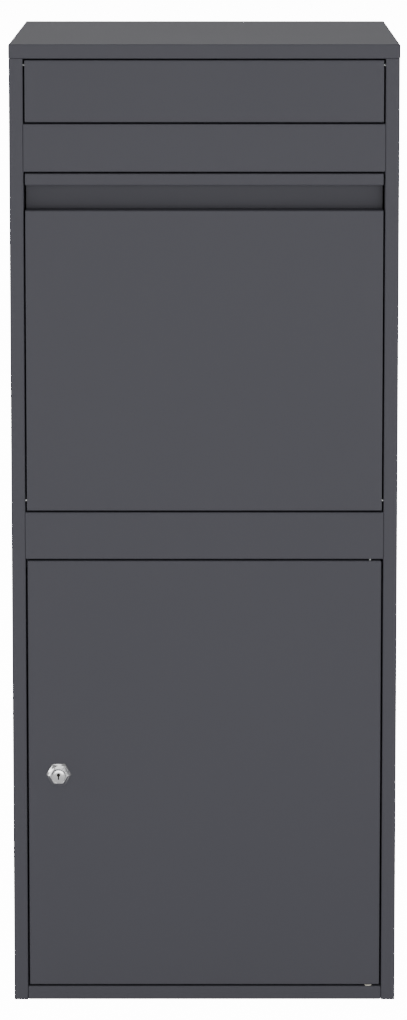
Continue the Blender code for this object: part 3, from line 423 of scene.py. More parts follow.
ROOF_STUD_IN = 0.0078
FIXING_Y = 0.120
break_edges(roof)
roof.data.materials.append(powder)
stud_x = WIDTH / 2 - ROOF_STUD_IN
stud_foot = skirt_low + SHEET / 2
stud_places = [(x, y, stud_foot) for x in (-stud_x, stud_x) for y in (-FIXING_Y, FIXING_Y)]
join_on(roof, welded_studs("roof_stud", stud_places, (0, 0, -1), stud_foot - roof_low.z))
stand_for(roof, powder, "cabinet", "roof_cap")


# ---- Side panels ----
# One sheet each: the outer wall with a 15 mm flange and hem at the front, a flange at the rear
# for the back panel and one at the top for the roof; studs are welded inside, out of sight.
SIDE_FLANGE = 0.015
SIDE_BEND = 0.0020
SIDE_HEM = 0.016
REAR_FLANGE = 0.022
TOP_FLANGE = 0.018
TOP_FLANGE_FRONT = 0.028
TOP_FLANGE_REAR = 0.022
BASE_RIM = 0.015
STUD_LENGTH = 0.0076
STUD_HOLE = 0.0028
GAP = 0.0003

left_low, left_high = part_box("left_side_panel")
FRONT = left_low.y
SIDE_REAR = left_high.y
SIDE_TOP = left_high.z
BODY_HALF = -left_low.x
OPEN_HALF = BODY_HALF - SIDE_FLANGE
PIN_RADIUS = 0.0015
chute_nuts = [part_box(f"chute_nut_{number}") for number in (1, 2)]
chute_studs = [((low.y + high.y) / 2, (low.z + high.z) / 2) for low, high in chute_nuts]


def split_at(place, normal):
    """Scores a straight line across the edited sheet."""
    bpy.ops.mesh.select_all(action="SELECT")
    bpy.ops.mesh.bisect(plane_co=place, plane_no=normal)


def side_panel(side, facing):
    """One side of the shell: -1 is the left and 1 the right."""
    name = "right" if side > 0 else "left"
    outer = side * BODY_HALF
    flat_sheet(f"{name}_side_folded", (outer, FRONT, 0), (outer, SIDE_REAR, SIDE_TOP), facing)
    split_at((0, FRONT + TOP_FLANGE_FRONT, 0), (0, 1, 0))
    split_at((0, SIDE_REAR - TOP_FLANGE_REAR, 0), (0, 1, 0))
    flange_x = outer - side * SIDE_FLANGE
    fold_on(lambda co: near(co.y, FRONT), (-side * SIDE_FLANGE, 0, 0))
    fold_on(lambda co: near(co.y, FRONT) and near(co.x, flange_x), (0, SIDE_HEM, 0))
    fold_on(lambda co: near(co.y, SIDE_REAR), (-side * REAR_FLANGE, 0, 0))
    fold_on(lambda co: near(co.z, SIDE_TOP) and near(co.x, outer)
            and FRONT + SIDE_HEM < co.y < SIDE_REAR - SHEET, (-side * TOP_FLANGE, 0, 0))
    select_edges(lambda edge: ends(edge, lambda co: near(co.x, outer) and near(co.y, FRONT)))
    bpy.ops.mesh.bevel(offset=SIDE_BEND, segments=FOLD_STEPS + 2, affect="EDGES")
    round_folds()
    panel = thicken()
    for pin in (f"letter_flap_pin_{name}", f"hopper_pin_{name}"):
        low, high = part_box(pin)
        y, z = (low.y + high.y) / 2, (low.z + high.z) / 2
        start, end = side * (OPEN_HALF - SHEET), side * (OPEN_HALF + 2 * SHEET)
        cut(panel, rod("pin_hole", (start, y, z), (end, y, z), PIN_RADIUS + GAP, SMALL_VERTICES))
    for number in range(1, 5):
        low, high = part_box(f"roof_nut_{number}")
        x, y = (low.x + high.x) / 2, (low.y + high.y) / 2
        if x * side > 0:
            start, end = SIDE_TOP - 2 * SHEET, SIDE_TOP + SHEET
            cut(panel, rod("roof_stud_hole", (x, y, start), (x, y, end), STUD_HOLE))
    for number in range(1, 7):
        low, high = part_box(f"back_nut_{number}")
        x, z = (low.x + high.x) / 2, (low.z + high.z) / 2
        if x * side > 0:
            start, end = SIDE_REAR - 2 * SHEET, SIDE_REAR + SHEET
            cut(panel, rod("back_stud_hole", (x, start, z), (x, end, z), STUD_HOLE))
    break_edges(panel)
    panel.data.materials.append(powder)
    inside = outer - side * SHEET / 2
    places = [(inside, y, BASE_RIM / 2) for y in (-FIXING_Y, FIXING_Y)]
    places += [(inside, y, z) for y, z in chute_studs]
    join_on(panel, welded_studs(f"{name}_side_stud", places, (-side, 0, 0), STUD_LENGTH))
    stand_for(panel, powder, "cabinet", f"{name}_side_panel")


side_panel(1, FACING_RIGHT)
side_panel(-1, FACING_LEFT)


# ---- Back panel ----
# A flat sheet over the full width, held by studs through the side panels' rear flanges. Four
# 8 mm holes take the screws into a wall.
HOLE_RADIUS = 0.004
WALL_HOLES = [(x, z) for x in (-0.120, 0.120) for z in (0.200, 0.880)]
HOLE_VERTICES = 48

back_low, back_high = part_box("back_panel")
flat_sheet("back_panel_sheet", (back_low.x, BACK, 0), (back_high.x, BACK, back_high.z),
           FACING_REAR)
back = thicken()
for x, z in WALL_HOLES:
    cut(back, rod("wall_hole", (x, BACK - 2 * SHEET, z), (x, BACK + SHEET, z), HOLE_RADIUS,
                  HOLE_VERTICES))
break_edges(back)
back.data.materials.append(powder)
stud_places = []
for number in range(1, 7):
    low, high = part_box(f"back_nut_{number}")
    stud_places.append(((low.x + high.x) / 2, BACK - SHEET / 2, (low.z + high.z) / 2))
join_on(back, welded_studs("back_stud", stud_places, (0, -1, 0), BACK - SHEET / 2 - back_low.y))
stand_for(back, powder, "cabinet", "back_panel")


# ---- Base pan ----
# The floor of the box: a pan whose front rim closes the front between the side flanges and whose
# front corners step back round the hems. Four 8 mm holes take ground bolts.
BASE_RETURN = 0.012
WELD_GAP = 0.00002
FLOOR_HOLE_X = 0.130

base_low, base_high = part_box("base_pan")
front_half = OPEN_HALF - WELD_GAP
hem_step = FRONT + SIDE_HEM + GAP
flat_sheet("base_pan_folded", (base_low.x, base_low.y, 0), (base_high.x, base_high.y, 0),
           FACING_DOWN)
for side in (-1, 1):
    split_at((side * front_half, 0, 0), (1, 0, 0))
split_at((0, hem_step, 0), (0, 1, 0))
bpy.ops.mesh.select_mode(type="FACE")
bpy.ops.mesh.select_all(action="DESELECT")
shape = bmesh.from_edit_mesh(bpy.context.object.data)
for face in shape.faces:
    middle = face.calc_center_median()
    face.select_set(abs(middle.x) > front_half and middle.y < hem_step)
bmesh.update_edit_mesh(bpy.context.object.data)
bpy.ops.mesh.delete(type="FACE")
bpy.ops.mesh.select_all(action="SELECT")
bpy.ops.mesh.dissolve_faces()
fold_pan((0, 0, BASE_RIM), lambda co: near(co.z, BASE_RIM), BASE_RETURN)
round_folds()
base = thicken()
for x in (-FLOOR_HOLE_X, FLOOR_HOLE_X):
    for y in (-FIXING_Y, FIXING_Y):
        cut(base, rod("ground_hole", (x, y, -SHEET), (x, y, 2 * SHEET), HOLE_RADIUS, HOLE_VERTICES))
pin_low, pin_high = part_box("lower_door_pin_bottom")
HINGE_X, HINGE_Y = (pin_low.x + pin_high.x) / 2, (pin_low.y + pin_high.y) / 2
cut(base, rod("pin_hole", (HINGE_X, HINGE_Y, BASE_RIM - 2 * SHEET),
              (HINGE_X, HINGE_Y, BASE_RIM + SHEET), PIN_RADIUS + GAP, SMALL_VERTICES))
break_edges(base)
stand_for(base, powder, "cabinet", "base_pan")


# ---- Crossbars ----
# Two folded channels welded between the hems, one under the letter slot and one between the
# hopper and the lower door. Each has a leg at the rear that its door closes against.
BAR_LEG = 0.012
UPPER_BAR_FLANGE = 0.018
MIDDLE_BAR_FLANGE = 0.012
STOP_NOTCH = 0.040


def crossbar(node, flange):
    """A folded bar and where its face ends below and its leg starts behind."""
    low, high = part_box(node)
    bar_low = low.z + BAR_LEG
    leg_y = high.y - SHEET
    flat_sheet(f"{node}_folded", (-OPEN_HALF, FRONT, bar_low), (OPEN_HALF, FRONT, high.z),
               FACING_FRONT)
    fold_on(lambda co: near(co.z, high.z), (0, flange, 0))
    fold_on(lambda co: near(co.z, bar_low), (0, leg_y - FRONT, 0))
    fold_on(lambda co: near(co.z, bar_low) and near(co.y, leg_y), (0, 0, -BAR_LEG))
    round_folds()
    return thicken(), bar_low, leg_y


def block(name, centre, size):
    """A plain block about a point, used as a cutter or welded to a piece."""
    bpy.ops.object.select_all(action="DESELECT")
    bpy.ops.mesh.primitive_cube_add(size=1, location=centre)
    made = bpy.context.object
    made.name = name
    made.scale = size
    bpy.ops.object.transform_apply(location=True, rotation=True, scale=True)
    return made


upper_bar = crossbar("upper_crossbar", UPPER_BAR_FLANGE)[0]
break_edges(upper_bar)
stand_for(upper_bar, powder, "cabinet", "upper_crossbar")

middle_bar, middle_bar_low, middle_leg_y = crossbar("middle_crossbar", MIDDLE_BAR_FLANGE)
notch_tall = 2 * BAR_LEG + 2 * SHEET
notch_place = (OPEN_HALF - STOP_NOTCH / 2, middle_leg_y,
               middle_bar_low + 2 * SHEET - notch_tall / 2)
cut(middle_bar, block("leg_notch", notch_place, (STOP_NOTCH, 4 * SHEET, notch_tall)))
cut(middle_bar, rod("pin_hole", (HINGE_X, HINGE_Y, middle_bar_low - SHEET),
                    (HINGE_X, HINGE_Y, middle_bar_low + 2 * SHEET), PIN_RADIUS + GAP,
                    SMALL_VERTICES))
break_edges(middle_bar)
stand_for(middle_bar, powder, "cabinet", "middle_crossbar")


# ---- Letter flap ----
# One folded sheet: top return, face, bottom flange and the leg that hangs behind the upper bar
# so that the flap only swings inwards. A small tab welded at each end carries a hinge pin.
FLAP_RETURN = 0.008
FLAP_LEG = 0.010
FLAP_TAB = (0.0085, 0.0118)

flap_low, flap_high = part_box("letter_flap")
flap_bottom = flap_low.z + FLAP_LEG
flap_leg_y = flap_high.y - SHEET
flat_sheet("letter_flap_folded", (flap_low.x, FRONT, flap_bottom),
           (flap_high.x, FRONT, flap_high.z), FACING_FRONT)
fold_on(lambda co: near(co.z, flap_high.z), (0, FLAP_RETURN, 0))
fold_on(lambda co: near(co.z, flap_bottom), (0, flap_leg_y - FRONT, 0))
fold_on(lambda co: near(co.z, flap_bottom) and near(co.y, flap_leg_y), (0, 0, -FLAP_LEG))
round_folds()
flap = thicken()
break_edges(flap)
flap.data.materials.append(powder)
tabs = []
for edge_x, facing in ((flap_low.x, FACING_LEFT), (flap_high.x, FACING_RIGHT)):
    flat_sheet("flap_tab", (edge_x, FRONT + SHEET / 2, flap_high.z - SHEET / 2 - FLAP_TAB[1]),
               (edge_x, FRONT + SHEET / 2 + FLAP_TAB[0], flap_high.z - SHEET / 2), facing)
    tab = thicken()
    break_edges(tab)
    tab.data.materials.append(powder)
    tabs.append(tab)
join_on(flap, tabs)
stand_for(flap, powder, "letter_flap", "letter_flap")


# ---- Hinge pins ----
# Zinc-plated 3 mm pins turned with a small head on the inner side: two for the flap, two for
# the hopper and two for the lower door. Their ends show in the gaps.
PIN_HEAD = 0.0012
PIN_CHAMFER = 0.0003
TURN_STEPS = 48


def turn(name, profile, closed=False):
    """Turns a piece about Z from a profile of radius and height, as on a lathe."""
    bpy.ops.object.select_all(action="DESELECT")
    bpy.ops.mesh.primitive_plane_add(size=1, location=(0, 0, 0))
    made = bpy.context.object
    made.name = made.data.name = name
    bpy.ops.object.mode_set(mode="EDIT")
    bpy.ops.mesh.select_mode(type="VERT")
    bpy.ops.mesh.select_all(action="SELECT")
    bpy.ops.mesh.merge(type="CENTER")
    points = [Vector((radius, 0, height)) for radius, height in profile]
    if closed:
        points.append(points[0])
    bpy.ops.mesh.select_all(action="SELECT")
    bpy.ops.transform.translate(value=points[0])
    for before, after in zip(points, points[1:]):
        bpy.ops.mesh.extrude_vertices_move(TRANSFORM_OT_translate={"value": after - before})
    bpy.ops.mesh.select_all(action="SELECT")
    bpy.ops.mesh.spin(steps=TURN_STEPS, angle=math.tau, center=(0, 0, 0), axis=(0, 0, 1))
    bpy.ops.mesh.select_all(action="SELECT")
    bpy.ops.mesh.remove_doubles(threshold=1e-6)
    bpy.ops.mesh.normals_make_consistent(inside=False)
    bpy.ops.object.mode_set(mode="OBJECT")
    bpy.ops.object.shade_smooth_by_angle(angle=SHARPEST_ROUND)
    return made


def aim(piece, place, direction):
    """Points a piece made along +Z along a direction, with its origin at a place."""
    bpy.ops.object.select_all(action="DESELECT")
    piece.select_set(True)
    bpy.context.view_layer.objects.active = piece
    piece.rotation_mode = "QUATERNION"
    piece.rotation_quaternion = Vector((0, 0, 1)).rotation_difference(Vector(direction))
    piece.location = place
    bpy.ops.object.transform_apply(location=True, rotation=True, scale=True)
    piece.rotation_mode = "XYZ"
    return piece


def node_along(node, direction):
    """Foot of a node on its axis, its length along the axis and its radius across it."""
    low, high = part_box(node)
    direction = Vector(direction)
    length = abs((high - low).dot(direction))
    return (low + high) / 2 - direction * length / 2, length, sorted(high - low)


def headed_pin(node, body, direction):
    """A hinge pin whose head is its foot."""
    foot, length, spans = node_along(node, direction)
    head = spans[0] / 2
    profile = [(0, 0), (head - PIN_CHAMFER, 0), (head, PIN_CHAMFER), (head, PIN_HEAD),
               (PIN_RADIUS, PIN_HEAD), (PIN_RADIUS, length - PIN_CHAMFER),
               (PIN_RADIUS - PIN_CHAMFER, length), (0, length)]
    stand_for(aim(turn(f"{node}_turned", profile), foot, direction), zinc, body, node)


for side_name, side in (("left", -1), ("right", 1)):
    headed_pin(f"letter_flap_pin_{side_name}", "letter_flap", (side, 0, 0))
    headed_pin(f"hopper_pin_{side_name}", "parcel_hopper", (side, 0, 0))
headed_pin("lower_door_pin_top", "lower_door", (0, 0, 1))
headed_pin("lower_door_pin_bottom", "lower_door", (0, 0, -1))


# ---- Parcel door panel ----
# The hopper's front, one folded sheet from its bottom return up the face, into the finger
# trough and out over it to the lip, whose edge is hemmed so that it is safe to pull.
DOOR_RETURN = 0.015
LIP_HEIGHT = 0.0125
LIP_HEM = 0.0040
TROUGH_HEIGHT = 0.0266

door_low, door_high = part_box("parcel_door_panel")
TROUGH_DEPTH = door_high.y - SHEET - FRONT
trough_low = door_high.z - LIP_HEIGHT - TROUGH_HEIGHT
trough_y = FRONT + TROUGH_DEPTH
trough_top = door_high.z - SHEET
flat_sheet("parcel_door_folded", (door_low.x, FRONT, door_low.z), (door_high.x, FRONT, trough_low),
           FACING_FRONT)
fold_on(lambda co: near(co.z, door_low.z), (0, DOOR_RETURN, 0))
fold_on(lambda co: near(co.z, trough_low), (0, TROUGH_DEPTH, 0))
fold_on(lambda co: near(co.z, trough_low) and near(co.y, trough_y), (0, 0, trough_top - trough_low))
fold_on(lambda co: near(co.z, trough_top), (0, SHEET - TROUGH_DEPTH, 0))
fold_on(lambda co: near(co.z, trough_top) and near(co.y, FRONT + SHEET),
        (0, 0, 2 * SHEET - LIP_HEIGHT))
fold_on(lambda co: near(co.z, trough_top + 2 * SHEET - LIP_HEIGHT), (0, LIP_HEM, 0))
round_folds()
parcel_door = thicken()
break_edges(parcel_door)
stand_for(parcel_door, powder, "parcel_hopper", "parcel_door_panel")


# ---- Lower door ----
# A pan with a 15 mm rim and a return all round, hinged on pins at its right edge. The 18 mm
# hole for the lock is punched near its left edge.
LOWER_RIM = 0.015
LOWER_RETURN = 0.012
LOCK_HOLE = 0.0093
LOCK_VERTICES = 64

lower_low, lower_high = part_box("lower_door_panel")
housing_low, housing_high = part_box("lock_housing")
LOCK_X, LOCK_Z = (housing_low.x + housing_high.x) / 2, (housing_low.z + housing_high.z) / 2
flat_sheet("lower_door_folded", (lower_low.x, FRONT, lower_low.z),
           (lower_high.x, FRONT, lower_high.z), FACING_FRONT)
fold_pan((0, LOWER_RIM, 0), lambda co: near(co.y, FRONT + LOWER_RIM), LOWER_RETURN)
round_folds()
lower_door = thicken()
cut(lower_door, rod("lock_hole", (LOCK_X, FRONT - SHEET, LOCK_Z),
                    (LOCK_X, FRONT + 2 * SHEET, LOCK_Z), LOCK_HOLE, LOCK_VERTICES))
for z in (lower_low.z, lower_high.z):
    cut(lower_door, rod("pin_hole", (HINGE_X, HINGE_Y, z - 2 * SHEET),
                        (HINGE_X, HINGE_Y, z + 2 * SHEET), PIN_RADIUS + GAP, SMALL_VERTICES))
break_edges(lower_door)
stand_for(lower_door, powder, "lower_door", "lower_door_panel")


# ---- Letter chute ----
# A sheet folded over the hopper: letters slide down it to the rear and drop behind its skirt,
# which is notched at its ends for the cheeks. Four tabs take the studs of the side panels.
CHUTE_LIP = 0.012
CHUTE_SKIRT = 0.100
CHUTE_TAB = (0.026, 0.016)
CHUTE_SLOPE = math.radians(24.09)
CHUTE_SHOULDER = 0.014

chute_low, chute_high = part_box("letter_chute")
chute_half = chute_high.x
CHUTE_REAR = Vector((0, chute_high.y, chute_low.z + CHUTE_SKIRT))
CHUTE_FRONT = Vector((0, chute_low.y, 0))
CHUTE_FRONT.z = CHUTE_REAR.z + (chute_high.y - chute_low.y) * math.tan(CHUTE_SLOPE)
chute_slope = CHUTE_REAR - CHUTE_FRONT
flat_sheet("letter_chute_folded", (-chute_half, chute_low.y, CHUTE_FRONT.z - CHUTE_LIP),
           (chute_half, chute_low.y, CHUTE_FRONT.z), FACING_FRONT)
fold_on(lambda co: near(co.z, CHUTE_FRONT.z), chute_slope)
fold_on(lambda co: near(co.y, CHUTE_REAR.y), (0, 0, -CHUTE_SKIRT))
round_folds()
chute = thicken()
skirt_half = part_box("parcel_guard")[1].x
notch_width = chute_half - skirt_half + SHEET
notch_height = CHUTE_SKIRT - CHUTE_SHOULDER + SHEET
for side in (-1, 1):
    notch_place = (side * (skirt_half + notch_width / 2), CHUTE_REAR.y,
                   CHUTE_REAR.z - CHUTE_SHOULDER - notch_height / 2)
    cut(chute, block("skirt_notch", notch_place, (notch_width, 4 * SHEET, notch_height)))
break_edges(chute)
chute.data.materials.append(powder)


def welded_tab(name, centre, size, tilt, side):
    """A small upright sheet turned up at the end of a sloping one."""
    facing = FACING_RIGHT if side > 0 else FACING_LEFT
    half_y, half_z = size[0] / 2, size[1] / 2
    flat_sheet(name, (0, -half_y, -half_z), (0, half_y, half_z), facing)
    tab = thicken()
    break_edges(tab)
    tab.rotation_euler = (tilt, 0, 0)
    tab.location = centre
    bpy.ops.object.transform_apply(location=True, rotation=True, scale=True)
    tab.data.materials.append(powder)
    return tab


slope_unit = chute_slope.normalized()
slope_up = Vector((0, -slope_unit.z, slope_unit.y))
chute_tilt = math.atan2(slope_unit.z, slope_unit.y)
tab_size = (CHUTE_TAB[0], CHUTE_TAB[1] - SHEET / 2)
tabs = []
for side in (-1, 1):
    for y, z in chute_studs:
        centre = Vector((side * chute_half, y, z)) - slope_up * SHEET / 4
        tabs.append(welded_tab("chute_tab", centre, tab_size, chute_tilt, side))
for tab, (y, z) in zip(tabs, chute_studs * 2):
    cut(tab, rod("stud_hole", (-BODY_HALF, y, z), (BODY_HALF, y, z), STUD_HOLE))
join_on(chute, tabs)
RIVET_HOLE = 0.0023
guard_rivets = []
for name in ("guard_rivet_left", "guard_rivet_right"):
    low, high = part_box(name)
    guard_rivets.append(((low.x + high.x) / 2, (low.z + high.z) / 2))
for x, z in guard_rivets:
    cut(chute, rod("rivet_hole", (x, CHUTE_REAR.y - 3 * SHEET, z), (x, CHUTE_REAR.y + SHEET, z),
                   RIVET_HOLE))
stand_for(chute, powder, "cabinet", "letter_chute")


# ---- Parcel guard ----
# A folded sheet riveted inside the chute's skirt, which keeps a hand from reaching down past
# the open hopper. Its edge is hemmed downwards.
GUARD_LAP = 0.045
GUARD_DROP = 0.090
GUARD_HEM = 0.014

guard_low, guard_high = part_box("parcel_guard")
guard_fold_z = guard_high.z - GUARD_LAP
guard_edge_y = guard_low.y + SHEET
flat_sheet("parcel_guard_folded", (guard_low.x, guard_high.y, guard_fold_z),
           (guard_high.x, guard_high.y, guard_high.z), FACING_REAR)
fold_on(lambda co: near(co.z, guard_fold_z), (0, guard_edge_y - guard_high.y, -GUARD_DROP))
fold_on(lambda co: near(co.z, guard_fold_z - GUARD_DROP), (0, 0, -GUARD_HEM))
round_folds()
guard = thicken()
for x, z in guard_rivets:
    cut(guard, rod("rivet_hole", (x, guard_high.y - 3 * SHEET, z), (x, guard_high.y + SHEET / 4, z),
                   RIVET_HOLE))
break_edges(guard)
stand_for(guard, powder, "cabinet", "parcel_guard")


# ---- Hopper tray ----
# The sloping floor of the tilt-out hopper, with a leg against the door, a stop lip at its rear
# and turned-up edges that are riveted to the cheeks.
TRAY_SLOPE = math.radians(40)
TRAY_LEG = 0.025
TRAY_LIP = 0.012
TRAY_WALL = 0.014
TRAY_WALL_INSET = 0.025
TRAY_START_UP = 0.0211

tray_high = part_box("hopper_tray")[1]
tray_down = Vector((0, math.cos(TRAY_SLOPE), -math.sin(TRAY_SLOPE)))
tray_up = Vector((0, math.sin(TRAY_SLOPE), math.cos(TRAY_SLOPE)))
tray_start = Vector((0, FRONT + 2 * SHEET + GAP, door_low.z + TRAY_START_UP))
tray_length = (tray_high.y - tray_start.y - TRAY_LIP * tray_up.y) / tray_down.y
tray_half = tray_high.x
flat_sheet("hopper_tray_folded", (-tray_half, tray_start.y, tray_start.z),
           (tray_half, tray_start.y, tray_start.z + TRAY_LEG), FACING_REAR)
fold_on(lambda co: near(co.z, tray_start.z), tray_down * tray_length)
tray_end_z = tray_start.z + tray_down.z * tray_length
fold_on(lambda co: near(co.z, tray_end_z), tray_up * TRAY_LIP)
round_folds()
tray = thicken()
break_edges(tray)
tray.data.materials.append(powder)
walls = []
wall_tall = TRAY_WALL - SHEET / 2
for side in (-1, 1):
    centre = tray_start + tray_down * tray_length / 2 + tray_up * (wall_tall / 2 - SHEET / 2)
    centre.x = side * tray_half
    walls.append(welded_tab("tray_wall", centre, (tray_length - 2 * TRAY_WALL_INSET, wall_tall),
                            -TRAY_SLOPE, side))
for number in (1, 2):
    low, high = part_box(f"tray_rivet_left_{number}")
    y, z = (low.y + high.y) / 2, (low.z + high.z) / 2
    for wall in walls:
        cut(wall, rod("rivet_hole", (-BODY_HALF, y, z), (BODY_HALF, y, z), RIVET_HOLE))
join_on(tray, walls)
stand_for(tray, powder, "parcel_hopper", "hopper_tray")


# ---- Hopper cheeks ----
# Laser-cut sheet sectors that close the hopper's sides, with an ear at the rear that meets the
# upper crossbar's leg when the hopper is fully out. They keep their cut shape.
for name in ("hopper_left_cheek", "hopper_right_cheek"):
    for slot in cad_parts[name].material_slots:
        slot.material = powder


# ---- Rivets ----
# Steel rivets with a domed head on one side and a formed one on the other: four hold the tray
# to the cheeks, two the guard to the chute.
RIVET_RADIUS = 0.0020
RIVET_EDGE = 0.0003
RIVET_HEAD = 0.0008
RIVET_DOME = (0.6, 0.9)


def rivet(node, body, direction):
    """A set rivet: a domed head at its foot and a flatter formed one at its end."""
    foot, length, spans = node_along(node, direction)
    head = spans[1] / 2
    profile = [(0, 0), (head * RIVET_DOME[0], RIVET_EDGE / 3), (head * RIVET_DOME[1], RIVET_EDGE),
               (head, 2 * RIVET_EDGE), (head, RIVET_HEAD), (RIVET_RADIUS, RIVET_HEAD),
               (RIVET_RADIUS, length - RIVET_HEAD), (head, length - RIVET_HEAD),
               (head, length - RIVET_EDGE), (head - RIVET_EDGE, length), (0, length)]
    stand_for(aim(turn(f"{node}_set", profile), foot, direction), zinc, body, node)


for number in (1, 2):
    rivet(f"tray_rivet_left_{number}", "parcel_hopper", (-1, 0, 0))
    rivet(f"tray_rivet_right_{number}", "parcel_hopper", (1, 0, 0))
rivet("guard_rivet_left", "cabinet", (0, 1, 0))
rivet("guard_rivet_right", "cabinet", (0, 1, 0))


# ---- Bumpers and hinge washer ----
# Moulded rubber discs glued to the legs of the crossbars take the knock of a closing door; a
# nylon washer under the lower door's hinge carries its weight.
BUMPER_ROUND = 0.0006

rubber = finish_material("black_rubber", (0.020, 0.020, 0.021), tint=(0.032, 0.031, 0.030),
                         roughness=(0.70, 0.90), metallic=0.0, gloss=0.3, grain_scale=500.0,
                         grain_depth=0.00004, dust=0.3)
nylon = finish_material("natural_nylon", (0.74, 0.71, 0.62), tint=(0.68, 0.66, 0.58),
                        roughness=(0.40, 0.55), metallic=0.0, gloss=0.5, grain_scale=400.0,
                        grain_depth=0.00003, dust=0.1)
for name in ("hopper_bumper_left", "hopper_bumper_right",
             "lower_door_bumper_left", "lower_door_bumper_right"):
    foot, length, spans = node_along(name, (0, -1, 0))
    radius = spans[2] / 2
    profile = [(0, 0), (radius, 0), (radius, length - BUMPER_ROUND),
               (radius - BUMPER_ROUND / 3, length - BUMPER_ROUND / 3),
               (radius - BUMPER_ROUND, length), (0, length)]
    stand_for(aim(turn(f"{name}_moulded", profile), foot, (0, -1, 0)), rubber, "cabinet", name)


def turned_washer(node, finish, body, direction, bore):
    """A flat ring with broken edges."""
    foot, length, spans = node_along(node, direction)
    outer, edge = spans[2] / 2, PIN_CHAMFER / 2
    profile = [(bore, 0), (outer - edge, 0), (outer, edge), (outer, length - edge),
               (outer - edge, length), (bore, length)]
    stand_for(aim(turn(f"{node}_turned", profile, closed=True), foot, direction), finish, body, node)


turned_washer("hinge_washer", nylon, "cabinet", (0, 0, 1), PIN_RADIUS + GAP)


# ---- Cam lock ----
# A chromed die-cast cam lock: a tapered hexagonal collar with a threaded sleeve behind the
# door, and a round plug with the keyhole that turns in it. A washer and a nut clamp it.
COLLAR_FLATS = 0.0238
COLLAR_FRONT = 0.0164
COLLAR_SKIRT = 0.0008
COLLAR_DEPTH = 0.0058
COLLAR_CORNER = 0.0146
COLLAR_ROUND = 0.0091
SLEEVE_RADIUS = 0.0090
HEAD_RADIUS = 0.0073
HEAD_SEAT = 0.0030
PLUG_RADIUS = 0.0060
STUB_RADIUS = 0.0030
THREAD = 0.0005
THREAD_PITCH = 0.0010
CAST_EDGE = 0.00015
KEYHOLE = (0.0014, 0.0070, 0.0030)
HEX_TURN = math.radians(30)

chrome = finish_material("lock_chrome", (0.82, 0.82, 0.83), tint=(0.74, 0.74, 0.75),
                         roughness=(0.10, 0.24), metallic=1.0, gloss=0.5, grain_scale=700.0,
                         grain_depth=0.00002, dust=0.0)
LOCK_PLACE = Vector((LOCK_X, FRONT, LOCK_Z))
OUTWARD = Vector((0, -1, 0))


def hex_bar(name, flats, length, foot=0.0):
    """A hexagonal bar along +Z with two corners on the X axis."""
    bpy.ops.object.select_all(action="DESELECT")
    bpy.ops.mesh.primitive_cylinder_add(vertices=6, radius=flats / math.sqrt(3), depth=length,
                                        location=(0, 0, foot + length / 2),
                                        rotation=(0, 0, HEX_TURN))
    made = bpy.context.object
    made.name = made.data.name = name
    bpy.ops.object.transform_apply(location=True, rotation=True, scale=True)
    return made


def trim_on(piece, shape):
    """Keeps only what lies inside a turned shape, as when the corners are turned off a bar."""
    bpy.ops.object.select_all(action="DESELECT")
    piece.select_set(True)
    bpy.context.view_layer.objects.active = piece
    trim = piece.modifiers.new("corners", "BOOLEAN")
    trim.operation = "INTERSECT"
    trim.object = shape
    bpy.ops.object.modifier_apply(modifier=trim.name)
    bpy.data.objects.remove(shape, do_unlink=True)


def select_facing(piece, direction):
    """Enters edit mode with the faces that look along a direction selected."""
    bpy.ops.object.mode_set(mode="EDIT")
    bpy.ops.mesh.select_mode(type="FACE")
    bpy.ops.mesh.select_all(action="DESELECT")
    shape = bmesh.from_edit_mesh(piece.data)
    for face in shape.faces:
        face.select_set(face.normal.dot(Vector(direction)) > 0.9)
    bmesh.update_edit_mesh(piece.data)


collar = hex_bar("lock_collar", COLLAR_FLATS, COLLAR_SKIRT, GAP)
select_facing(collar, (0, 0, 1))
collar_rise = (0, 0, COLLAR_DEPTH - COLLAR_SKIRT - GAP)
bpy.ops.mesh.extrude_region_move(TRANSFORM_OT_translate={"value": collar_rise})
taper = COLLAR_FRONT / COLLAR_FLATS
bpy.ops.transform.resize(value=(taper, taper, 1), center_override=(0, 0, 0))
bpy.ops.object.mode_set(mode="OBJECT")
trim_on(collar, turn("collar_cone", [(0, 0), (COLLAR_FLATS, 0), (COLLAR_CORNER, COLLAR_SKIRT),
                                     (COLLAR_ROUND, COLLAR_DEPTH), (0, COLLAR_DEPTH)]))
cut(collar, rod("head_recess", (0, 0, HEAD_SEAT), (0, 0, 2 * COLLAR_DEPTH), HEAD_RADIUS + GAP,
                LOCK_VERTICES))
cut(collar, rod("plug_bore", (0, 0, -SHEET), (0, 0, COLLAR_DEPTH), PLUG_RADIUS + GAP, LOCK_VERTICES))
break_edges(collar, CAST_EDGE)
sleeve_back = FRONT - housing_high.y
profile = [(PLUG_RADIUS + GAP, GAP), (PLUG_RADIUS + GAP, sleeve_back),
           (SLEEVE_RADIUS - THREAD, sleeve_back)]
height = sleeve_back + THREAD_PITCH / 2
while height < -SHEET - THREAD_PITCH:
    profile += [(SLEEVE_RADIUS, height), (SLEEVE_RADIUS - THREAD, height + THREAD_PITCH / 2)]
    height += THREAD_PITCH
profile += [(SLEEVE_RADIUS, -SHEET), (SLEEVE_RADIUS, GAP)]
sleeve = turn("lock_sleeve", profile, closed=True)
collar.data.materials.append(chrome)
sleeve.data.materials.append(chrome)
join_on(collar, [sleeve])
stand_for(aim(collar, LOCK_PLACE, OUTWARD), chrome, "lower_door", "lock_housing")

